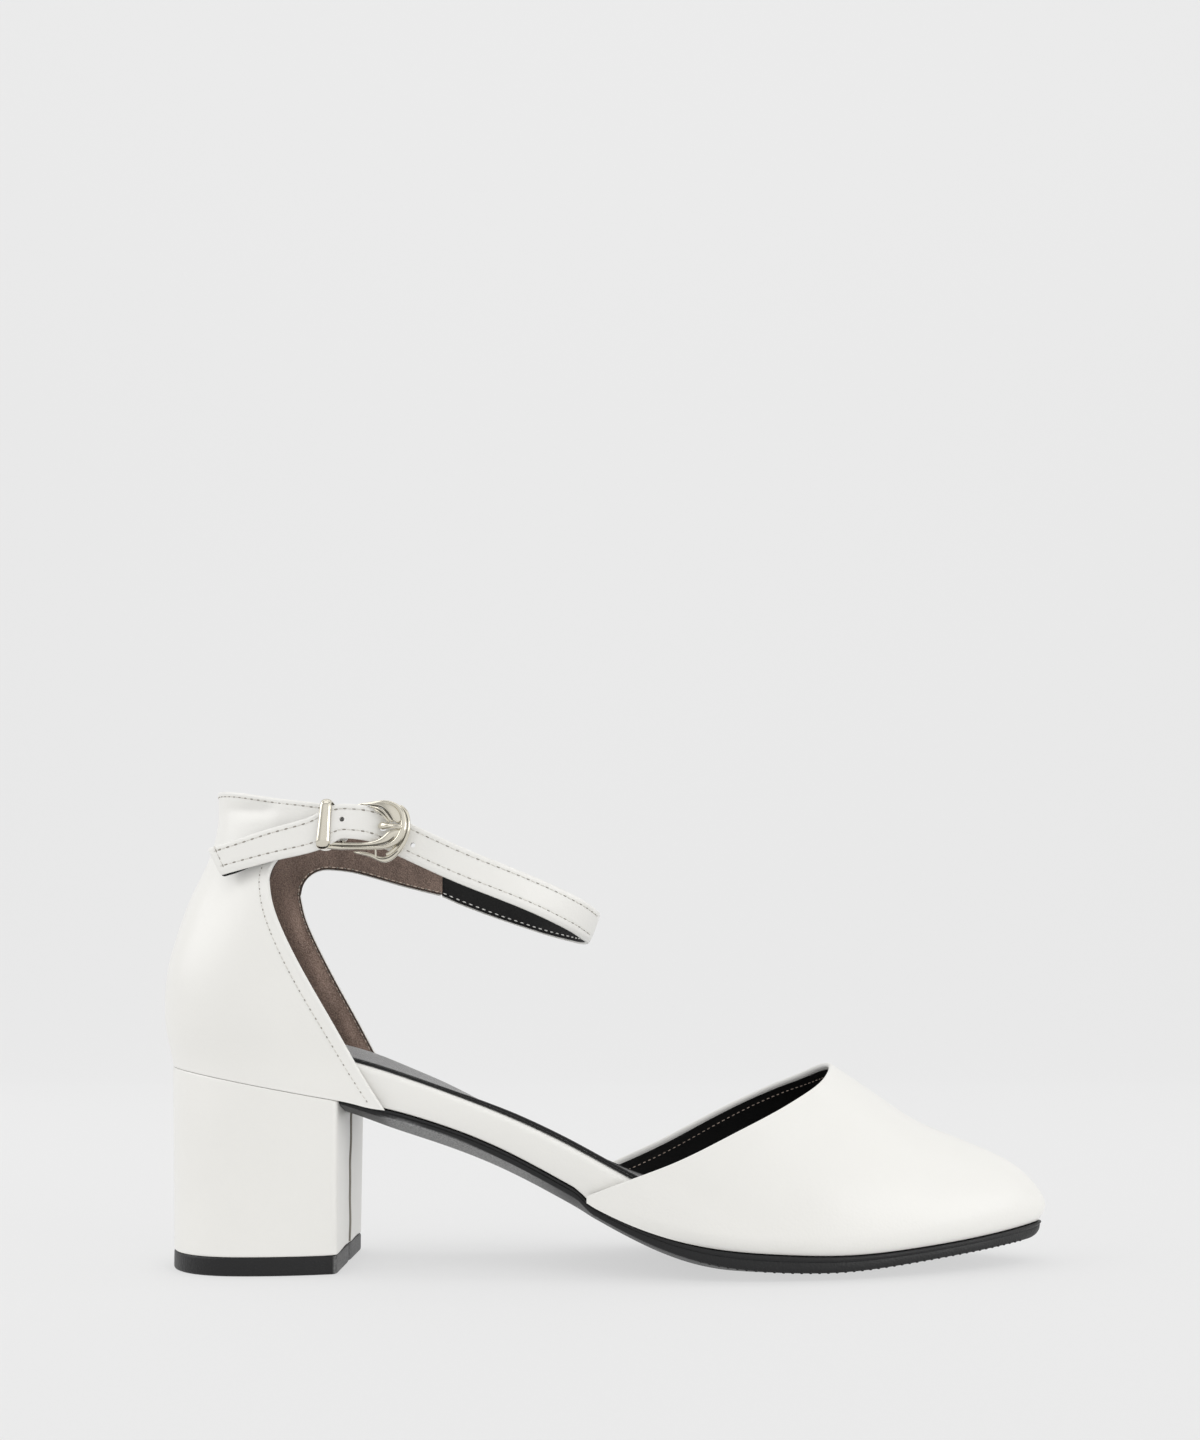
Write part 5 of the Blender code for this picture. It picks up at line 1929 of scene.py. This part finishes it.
def path_tree():
    """Geometry Nodes tree that sets one small shape at even steps along every path of a mesh."""
    name = "repeat_along_path"
    if name in bpy.data.node_groups:
        return bpy.data.node_groups[name]
    tree = bpy.data.node_groups.new(name, "GeometryNodeTree")
    for label, kind in PATH_INPUTS:
        tree.interface.new_socket(label, in_out="INPUT", socket_type="NodeSocket" + kind)
    tree.interface.new_socket("Result", in_out="OUTPUT", socket_type="NodeSocketGeometry")
    nodes = Nodes(tree)
    given = tree.nodes.new("NodeGroupInput")
    paths, pitch, size, shift, material = (Value(nodes, socket) for socket in given.outputs[:-1])
    curve = nodes.add("GeometryNodeMeshToCurve", None, {"Mesh": paths})
    even = nodes.add("GeometryNodeResampleCurve", {"mode": "LENGTH"}, {"Curve": curve, "Length": pitch})
    tangent = nodes.add("GeometryNodeInputTangent")
    turned = nodes.add("FunctionNodeAlignRotationToVector", {"axis": "X"}, {"Vector": tangent})
    bead = nodes.add("GeometryNodeMeshUVSphere", None, {"Segments": 8, "Rings": 6, "Radius": 0.5})
    moved = {"Geometry": bead, "Scale": size, "Translation": shift}
    shape = nodes.add("GeometryNodeTransform", None, moved)
    sockets = {"Points": even, "Instance": shape, "Rotation": turned}
    copies = nodes.add("GeometryNodeInstanceOnPoints", None, sockets)
    real = nodes.add("GeometryNodeRealizeInstances", None, {"Geometry": copies})
    smooth = nodes.add("GeometryNodeSetShadeSmooth", None, {"Geometry": real, "Shade Smooth": True})
    done = nodes.add("GeometryNodeSetMaterial", None, {"Geometry": smooth, "Material": material})
    nodes.add("NodeGroupOutput", None, {"Result": done})
    return tree


def repeat_along(name, paths, pitch, size, material, shift=0.0):
    """Piece made of one small shape repeated along paths, which are lists of places on the shoe."""
    points = [point for path in paths for point in path]
    edges = []
    start = 0
    for path in paths:
        edges += [(start + step, start + step + 1) for step in range(len(path) - 1)]
        start += len(path)
    carrier = add_object(name + "_path", new_mesh(name + "_path", points, [], edges))
    tree = path_tree()
    rows = carrier.modifiers.new("rows", "NODES")
    rows.node_group = tree
    values = {"Pitch": pitch * MM, "Shape Size": [length * MM for length in size], "Material": material}
    values["Shift"] = [shift * MM, 0.0, 0.0]
    for item in tree.interface.items_tree:
        if item.in_out == "INPUT" and item.name in values:
            rows[item.identifier] = values[item.name]
    carrier.update_tag()
    graph = bpy.context.evaluated_depsgraph_get()
    mesh = bpy.data.meshes.new_from_object(carrier.evaluated_get(graph))
    mesh.name = name
    carrier_mesh = carrier.data
    bpy.data.objects.remove(carrier)
    bpy.data.meshes.remove(carrier_mesh)
    dress(name, mesh, material)


def on_counter(line, side, out):
    """Side view line carried onto the back upper, a little out of its face or, below zero, inside it."""
    return [tuple(Vector(counter_point(x, z, side)) + counter_normal(x, z, side) * out) for x, z in line]


def counter_top_path(out, inset):
    """Seam under the whole top edge, from the outer ear round the back to the inner ear."""
    path = []
    for side in (OUTER, INNER):
        half = []
        for forward in both_ends_dense(70):
            z = TOPLINE.read(side_name(side), mix(TOPLINE_BACK, EAR_ROOT, forward)) - inset
            x = mix(COUNTER.read("back", z), EAR_ROOT, max(forward, BACK_SEAM_MARGIN))
            half.append((x, z))
        for x in spread(EAR_ROOT, ear_end(side) - TOP_SEAM_CLEAR, 40)[1:]:
            half.append((x, TOPLINE.read(side_name(side), x) - inset))
        placed = on_counter(half, side, out)
        path = list(reversed(placed)) if side < 0.0 else path + placed
    return path


def counter_front_path(side, out, inset, swell=0.0):
    """Seam along the front edge and the ear's lower edge, kept off the ear's end and the sole."""
    kept = []
    border = np.array(front_border(side))
    insets = inset + swell * bump_at(border[:, 1] - FRONT_SEAM_MIDDLE, FRONT_SEAM_REACH)
    for x, z in inset_line(border, insets[:, None]):
        off_end = ear_end(side) - x
        off_sole = z - SOLE.read("seat", x)
        if (off_end if z > EAR_ROOT_HEIGHT else off_sole) > FRONT_SEAM_CLEAR:
            kept.append((x, z))
    return on_counter(kept, side, out)


def strap_path(edge, inset, out, first, last):
    """Seam along the strap's upper edge, 1, or lower edge, -1, between two stops."""
    path = []
    for stop in spread(first, last, 200):
        path.append(tuple(strap_point(stop, edge * (strap_half_width(stop) - inset), out)))
    return path


def throat_lining_path(below):
    """Seam inside the vamp, a set distance below the throat's edge."""
    columns = vamp_sheet()
    points, faces = columns_to_sheet(columns)[:2]
    normals = outward_sheet(points, faces)[0]
    inside = points - normals * (VAMP_LINING_DEPTH + LINING_THICKNESS + LINING_LAP)
    rows = len(columns[0][0])
    path = []
    for place in range(len(columns)):
        distances = columns[place][1]
        if distances[-1] >= below + THROAT_SEAM_CLEAR:
            strip = inside[place * rows:(place + 1) * rows]
            path.append(tuple(np.interp(below, distances, strip[:, axis]) for axis in range(3)))
    return path


# Sizes along, across and out of the face of what shows in one step of a seam, and of a tooth of the tread
NEEDLE_SLIT = (1.15, 0.48, 0.28)
NEEDLE_DOT = (0.74, 0.56, 0.3)
LINING_STITCH = (1.3, 0.42, 0.36)
FINE_STITCH = (1.05, 0.34, 0.3)
TREAD_TOOTH = (1.1, 0.8, 0.8)
TREAD_PITCH = 2.4
TREAD_FROM = 150.0
TREAD_TO = 244.0
TREAD_INSET = 0.4
TREAD_RISE = 0.22

# Steps of the other seams against the stitch pitch, which is that of the seams beside the buckle
LOOP_STEP = 1.22
FREE_END_STEP = 0.82
COUNTER_HIGH_STEP = 0.82
COUNTER_LOW_STEP = 1.15
COUNTER_LINING_STEP = 0.95
STRAP_LINING_STEP = 0.88
THROAT_STEP = 0.71

# Where the seams run, in millimetres, and in stops along the strap
SEAM_SINK = 0.05
STRAP_SEAM_SINK = 0.04
THROAT_SEAM = 4.1
THROAT_SEAM_CLEAR = 3.0
FRONT_SEAM_SPLIT = 92.0
FRONT_SEAM_CLEAR = 0.8
LINING_SEAM_INSET = 0.95
STRAP_LINING_SEAM = 1.3
TOP_SEAM_CLEAR = 1.0
BACK_SEAM_MARGIN = 0.0005
EAR_STOP = 0.1
BUCKLE_STOP = 15.2
NEAR_SEAM_STOP = STRAP_STOPS - 0.3
END_SEAM_STOP = STRAP_STOPS - 0.2
LOOP_FOLD = (6.3, 8.0)


def make_stitching():
    sizes = bpy.context.scene.pump_sizes
    pitch = sizes.stitch_pitch / MM
    thick = sizes.thread_thickness / MM
    cream = thread("cream_thread", "thread")
    white = thread("white_thread", "white_thread")
    beige = thread("beige_thread", "beige_thread")
    dark = thread("needle_hole_shadow", "needle_hole")

    face = STRAP_HALF_THICKNESS - STRAP_SEAM_SINK
    near_rows = [counter_top_path(-SEAM_SINK, TOP_SEAM_INSET)]
    loop_rows = []
    for edge, inset in ((-1.0, STRAP_LOW_SEAM), (1.0, STRAP_TOP_SEAM)):
        near_rows.append(strap_path(edge, inset, face, BUCKLE_STOP, NEAR_SEAM_STOP))
        loop_rows.append(strap_path(edge, inset, face, EAR_STOP, LOOP_FOLD[0]))
        loop_rows.append(strap_path(edge, inset, face, BUCKLE_STOP, LOOP_FOLD[1]))
    half = strap_half_width(END_SEAM_STOP)
    end_places = spread(STRAP_LOW_SEAM - half, half - STRAP_TOP_SEAM, 12)
    end_row = [tuple(strap_point(END_SEAM_STOP, across, face)) for across in end_places]
    high_rows = []
    low_rows = []
    for side in (OUTER, INNER):
        row = counter_front_path(side, -SEAM_SINK, FRONT_SEAM_INSET, FRONT_SEAM_SWELL)
        high_rows.append([place for place in row if place[2] > FRONT_SEAM_SPLIT])
        low_rows.append([place for place in row if place[2] <= FRONT_SEAM_SPLIT])
    seams = (
        ("near_seam", near_rows, pitch, NEEDLE_SLIT),
        ("loop_seam", loop_rows, LOOP_STEP * pitch, NEEDLE_SLIT),
        ("free_end_seam", [end_row], FREE_END_STEP * pitch, NEEDLE_SLIT),
        ("counter_high_seam", high_rows, COUNTER_HIGH_STEP * pitch, NEEDLE_DOT),
        ("counter_low_seam", low_rows, COUNTER_LOW_STEP * pitch, NEEDLE_DOT),
    )
    for name, rows, step, hole in seams:
        repeat_along(name + "_thread", rows, step, (step / 2.0, thick, thick), cream, step / 2.0)
        repeat_along(name + "_needle_holes", rows, step, hole, dark)

    depth = -(COUNTER_LEATHER + LINING_THICKNESS)
    step = COUNTER_LINING_STEP * pitch
    rows = [counter_top_path(depth, TOP_SEAM_INSET)]
    rows += [counter_front_path(side, depth, LINING_SEAM_INSET) for side in (OUTER, INNER)]
    repeat_along("heel_counter_lining_stitches", rows, step, LINING_STITCH, beige)
    repeat_along("heel_counter_lining_needle_holes", rows, step, NEEDLE_DOT, dark, step / 2.0)

    step = STRAP_LINING_STEP * pitch
    rows = []
    for edge in (-1.0, 1.0):
        rows.append(strap_path(edge, STRAP_LINING_SEAM, -STRAP_HALF_THICKNESS, EAR_STOP, END_SEAM_STOP))
    repeat_along("ankle_strap_lining_stitches", rows, step, LINING_STITCH, white)

    step = THROAT_STEP * pitch
    repeat_along("vamp_lining_stitches", [throat_lining_path(THROAT_SEAM)], step, FINE_STITCH, beige)


def make_tread():
    """Fine teeth along the lower edge of the forefoot."""
    paths = []
    for side in (OUTER, INNER):
        path = []
        for turn in turns(TREAD_FROM, TREAD_TO, 160):
            x = length_at(turn)
            edge = under_upper(x) - GAP / 2.0 - sole_wall(x)
            path.append((*outline(turn, side, outsole_inset(x) + TREAD_INSET), edge + TREAD_RISE))
        paths.append(path)
    repeat_along("outsole_tread_teeth", paths, TREAD_PITCH, TREAD_TOOTH, sole_rubber())


# Stage, in metres, and in pixels of the photo

CAMERA_PLACE = (-0.0103, -0.425, 0.0644)
CAMERA_TILT = 94.0
PHOTO_WIDTH = 1200
PHOTO_HEIGHT = 1440
FOCAL_PIXELS = 1471.0
SIGHT_COLUMN = 570.0
SIGHT_ROW = 932.0
SENSOR = 36.0
CLIP_START = 0.01
FLOOR_REACH = 5.0
SWEEP_START = 1.4
SWEEP_RADIUS = 1.6
WALL_HEIGHT = 5.0
SHOE_MIDDLE = (0.0, 0.0, 0.06)

# Softboxes: name, place, what it points at, width and height
SOFTBOXES = (
    ("top", (0.0, -0.9, 1.9), SHOE_MIDDLE, (1.8, 1.2)),
    ("heel", (-1.5, -0.25, 0.85), SHOE_MIDDLE, (1.4, 1.1)),
    ("toe", (1.35, -0.65, 0.75), SHOE_MIDDLE, (2.0, 0.9)),
    ("front", (1.35, -0.75, 0.2), SHOE_MIDDLE, (1.4, 0.4)),
    ("backdrop", (0.0, 0.7, 3.2), (0.0, 3.0, 1.3), (8.0, 1.6)),
)

# Upward and forward parts of a direction between which the room's light changes
CEILING_SPAN = (0.0, 0.7)
CAMERA_SIDE_SPAN = (-0.95, -0.7)


def add_camera():
    data = bpy.data.cameras.new("photo_camera")
    data.sensor_width = SENSOR
    data.lens = FOCAL_PIXELS / PHOTO_HEIGHT * SENSOR
    data.shift_x = (PHOTO_WIDTH / 2.0 - SIGHT_COLUMN) / PHOTO_HEIGHT
    data.shift_y = (SIGHT_ROW - PHOTO_HEIGHT / 2.0) / PHOTO_HEIGHT
    data.clip_start = CLIP_START
    camera = add_object("photo_camera", data)
    camera.location = CAMERA_PLACE
    camera.rotation_euler = (math.radians(CAMERA_TILT), 0.0, 0.0)
    bpy.context.scene.camera = camera


def add_floor():
    """Floor that runs back and sweeps up into a wall, without a corner."""
    rows = [(-FLOOR_REACH, 0.0), (SWEEP_START, 0.0)]
    for angle in spread(0.0, 90.0, 25)[1:]:
        turn = math.radians(angle)
        rows.append((SWEEP_START + SWEEP_RADIUS * math.sin(turn), SWEEP_RADIUS * (1.0 - math.cos(turn))))
    rows.append((SWEEP_START + SWEEP_RADIUS, WALL_HEIGHT))
    points = []
    faces = []
    for y, z in rows:
        points += [(-FLOOR_REACH, y, z), (FLOOR_REACH, y, z)]
    for row in range(len(rows) - 1):
        faces.append((2 * row, 2 * row + 1, 2 * row + 3, 2 * row + 2))
    mesh = bpy.data.meshes.new("stage_floor")
    mesh.from_pydata(points, [], faces)
    mesh.shade_smooth()
    mesh.materials.append(stage_paper())
    add_object("stage_floor", mesh)


def add_light(name, place, target, size, power):
    data = bpy.data.lights.new(name, "AREA")
    data.shape = "RECTANGLE"
    data.size, data.size_y = size
    data.energy = power
    light = add_object(name, data)
    light.location = place
    light.rotation_euler = (Vector(target) - Vector(place)).to_track_quat("-Z", "Y").to_euler()


def add_room():
    """Even room light, a little stronger overhead and much stronger behind the camera."""
    lights = bpy.context.scene.pump_stage
    world = bpy.data.worlds.new("studio_room")
    world.use_nodes = True
    nodes = Nodes(world.node_tree)
    soft = {"interpolation_type": "SMOOTHSTEP"}
    direction = nodes.add("ShaderNodeTexCoord", output="Generated")
    height = nodes.add("ShaderNodeSeparateXYZ", None, {"Vector": direction}, output="Z")
    ahead = nodes.add("ShaderNodeSeparateXYZ", None, {"Vector": direction}, output="Y")
    low, high = CEILING_SPAN
    ends = {0: height, 1: low, 2: high, 3: lights.wall_strength, 4: lights.ceiling_strength}
    room = nodes.add("ShaderNodeMapRange", soft, ends)
    low, high = CAMERA_SIDE_SPAN
    ends = {0: ahead, 1: low, 2: high, 3: lights.camera_side_strength, 4: 1.0}
    strength = room * nodes.add("ShaderNodeMapRange", soft, ends)
    background = world.node_tree.nodes["Background"]
    background.inputs["Color"].default_value = WHITE
    nodes.feed(background.inputs["Strength"], strength)
    bpy.context.scene.world = world


def make_stage():
    lights = bpy.context.scene.pump_stage
    add_camera()
    add_floor()
    add_room()
    for name, place, target, size in SOFTBOXES:
        add_light(name + "_softbox", place, target, size, getattr(lights, name + "_power"))
    bpy.context.scene.view_settings.view_transform = "Standard"


# Settings, operators and panel

def length_property(name, description, default):
    return bpy.props.FloatProperty(
        name=name, description=description, default=default, min=0.0001, unit="LENGTH", subtype="DISTANCE",
    )


def light_property(name, description, default, unit="NONE"):
    return bpy.props.FloatProperty(name=name, description=description, default=default, min=0.0, unit=unit)


def colour_property(name, description, default):
    return bpy.props.FloatVectorProperty(
        name=name, description=description, default=default, subtype="COLOR", size=3, min=0.0, max=1.0,
    )


class PumpSizes(bpy.types.PropertyGroup):
    """Sizes of the sewing."""

    stitch_pitch: length_property("Stitch Pitch", "Step from one stitch to the next", 0.00245)
    thread_thickness: length_property("Thread Thickness", "Thickness of the sewing thread", 0.0003)


class PumpColours(bpy.types.PropertyGroup):
    """Colours of the materials."""

    leather: colour_property("Leather", "Leather of upper, strap, band and heel", (0.86, 0.85, 0.815))
    black_lining: colour_property("Black Lining", "Fine linings and the sock", (0.009, 0.009, 0.009))
    brown_lining: colour_property("Brown Lining", "Napped lining of the back upper", (0.25, 0.182, 0.15))
    rubber: colour_property("Rubber", "Sides of the outsole and the top lift", (0.009, 0.009, 0.0095))
    tread: colour_property("Tread", "Matte underside of the outsole", (0.27, 0.27, 0.27))
    thread: colour_property("Thread", "Stitches on the white leather", (0.72, 0.70, 0.65))
    white_thread: colour_property("White Thread", "Stitches on the lining of the strap", (0.80, 0.79, 0.76))
    beige_thread: colour_property("Beige Thread", "Stitches on the other linings", (0.60, 0.49, 0.41))
    needle_hole: colour_property("Needle Hole", "Shadow in needle holes and heel seam", (0.33, 0.31, 0.27))
    metal: colour_property("Metal", "Buckle, prong and keeper", (0.74, 0.70, 0.60))
    paper: colour_property("Paper", "Floor and backdrop", (0.24, 0.24, 0.24))


class PumpStage(bpy.types.PropertyGroup):
    """Strength of the studio lights."""

    top_power: light_property("Top Light", "Softbox above the camera", 5.7, "POWER")
    heel_power: light_property("Heel Light", "Softbox behind the heel", 8.0, "POWER")
    toe_power: light_property("Toe Light", "Softbox beyond the toe", 3.6, "POWER")
    front_power: light_property("Front Light", "Low softbox beyond the toe", 4.4, "POWER")
    backdrop_power: light_property("Backdrop Light", "Softbox over the backdrop", 52.0, "POWER")
    floor_glow: light_property("Floor Glow", "Light that comes through the paper from below", 0.57)
    ceiling_strength: light_property("Ceiling", "Strength of the room's light from overhead", 0.55)
    wall_strength: light_property("Walls", "Strength of the room's light from the sides", 0.52)
    camera_side_strength: light_property("Camera Side", "Light behind the camera against the rest", 1.75)


class PUMP_OT_make_stage(bpy.types.Operator):
    """Adds the camera, the pale floor and the studio lights"""

    bl_idname = "pump.make_stage"
    bl_label = "Stage"

    def execute(self, context):
        make_stage()
        return {"FINISHED"}


class PUMP_OT_make_sole(bpy.types.Operator):
    """Makes the rubber outsole and the teeth along its edge"""

    bl_idname = "pump.make_sole"
    bl_label = "Outsole"

    def execute(self, context):
        make_sole()
        make_tread()
        return {"FINISHED"}


class PUMP_OT_make_heel(bpy.types.Operator):
    """Makes the wrapped block heel and its top lift"""

    bl_idname = "pump.make_heel"
    bl_label = "Heel"

    def execute(self, context):
        make_heel()
        return {"FINISHED"}


class PUMP_OT_make_footbed(bpy.types.Operator):
    """Makes the wrapped footbed and the black sock on it"""

    bl_idname = "pump.make_footbed"
    bl_label = "Footbed"

    def execute(self, context):
        make_footbed()
        return {"FINISHED"}


class PUMP_OT_make_vamp(bpy.types.Operator):
    """Makes the vamp with its turned edge and its lining"""

    bl_idname = "pump.make_vamp"
    bl_label = "Vamp"

    def execute(self, context):
        make_vamp()
        return {"FINISHED"}


class PUMP_OT_make_counter(bpy.types.Operator):
    """Makes the back upper with its ears and its napped lining"""

    bl_idname = "pump.make_counter"
    bl_label = "Back Upper"

    def execute(self, context):
        make_counter()
        return {"FINISHED"}


class PUMP_OT_make_strap(bpy.types.Operator):
    """Makes the ankle strap with its punched holes and its lining"""

    bl_idname = "pump.make_strap"
    bl_label = "Ankle Strap"

    def execute(self, context):
        make_strap()
        return {"FINISHED"}


class PUMP_OT_make_buckle(bpy.types.Operator):
    """Makes the buckle frame, prong, keeper and the loops that hold the bar"""

    bl_idname = "pump.make_buckle"
    bl_label = "Buckle"

    def execute(self, context):
        make_buckle()
        return {"FINISHED"}


class PUMP_OT_make_stitching(bpy.types.Operator):
    """Sews every seam that shows"""

    bl_idname = "pump.make_stitching"
    bl_label = "Stitching"

    def execute(self, context):
        make_stitching()
        return {"FINISHED"}


OPERATORS = (
    PUMP_OT_make_stage,
    PUMP_OT_make_sole,
    PUMP_OT_make_heel,
    PUMP_OT_make_footbed,
    PUMP_OT_make_vamp,
    PUMP_OT_make_counter,
    PUMP_OT_make_strap,
    PUMP_OT_make_buckle,
    PUMP_OT_make_stitching,
)
SETTINGS = (
    ("pump_sizes", PumpSizes),
    ("pump_colours", PumpColours),
    ("pump_stage", PumpStage),
)


class PUMP_PT_panel(bpy.types.Panel):
    """Lists the pieces and their settings"""

    bl_idname = "PUMP_PT_panel"
    bl_label = "Ankle Strap Pump"
    bl_space_type = "VIEW_3D"
    bl_region_type = "UI"
    bl_category = "Pump"

    def draw(self, context):
        for name, group in SETTINGS:
            box = self.layout.box()
            for setting in group.__annotations__:
                box.prop(getattr(context.scene, name), setting)
        for operator in OPERATORS:
            self.layout.operator(operator.bl_idname)


def register():
    for name, group in SETTINGS:
        bpy.utils.register_class(group)
        setattr(bpy.types.Scene, name, bpy.props.PointerProperty(type=group))
    for operator in OPERATORS:
        bpy.utils.register_class(operator)
    bpy.utils.register_class(PUMP_PT_panel)


def unregister():
    bpy.utils.unregister_class(PUMP_PT_panel)
    for operator in reversed(OPERATORS):
        bpy.utils.unregister_class(operator)
    for name, group in reversed(SETTINGS):
        delattr(bpy.types.Scene, name)
        bpy.utils.unregister_class(group)


def main():
    register()
    for operator in OPERATORS:
        group, name = operator.bl_idname.split(".")
        getattr(getattr(bpy.ops, group), name)()


if __name__ == "__main__":
    main()
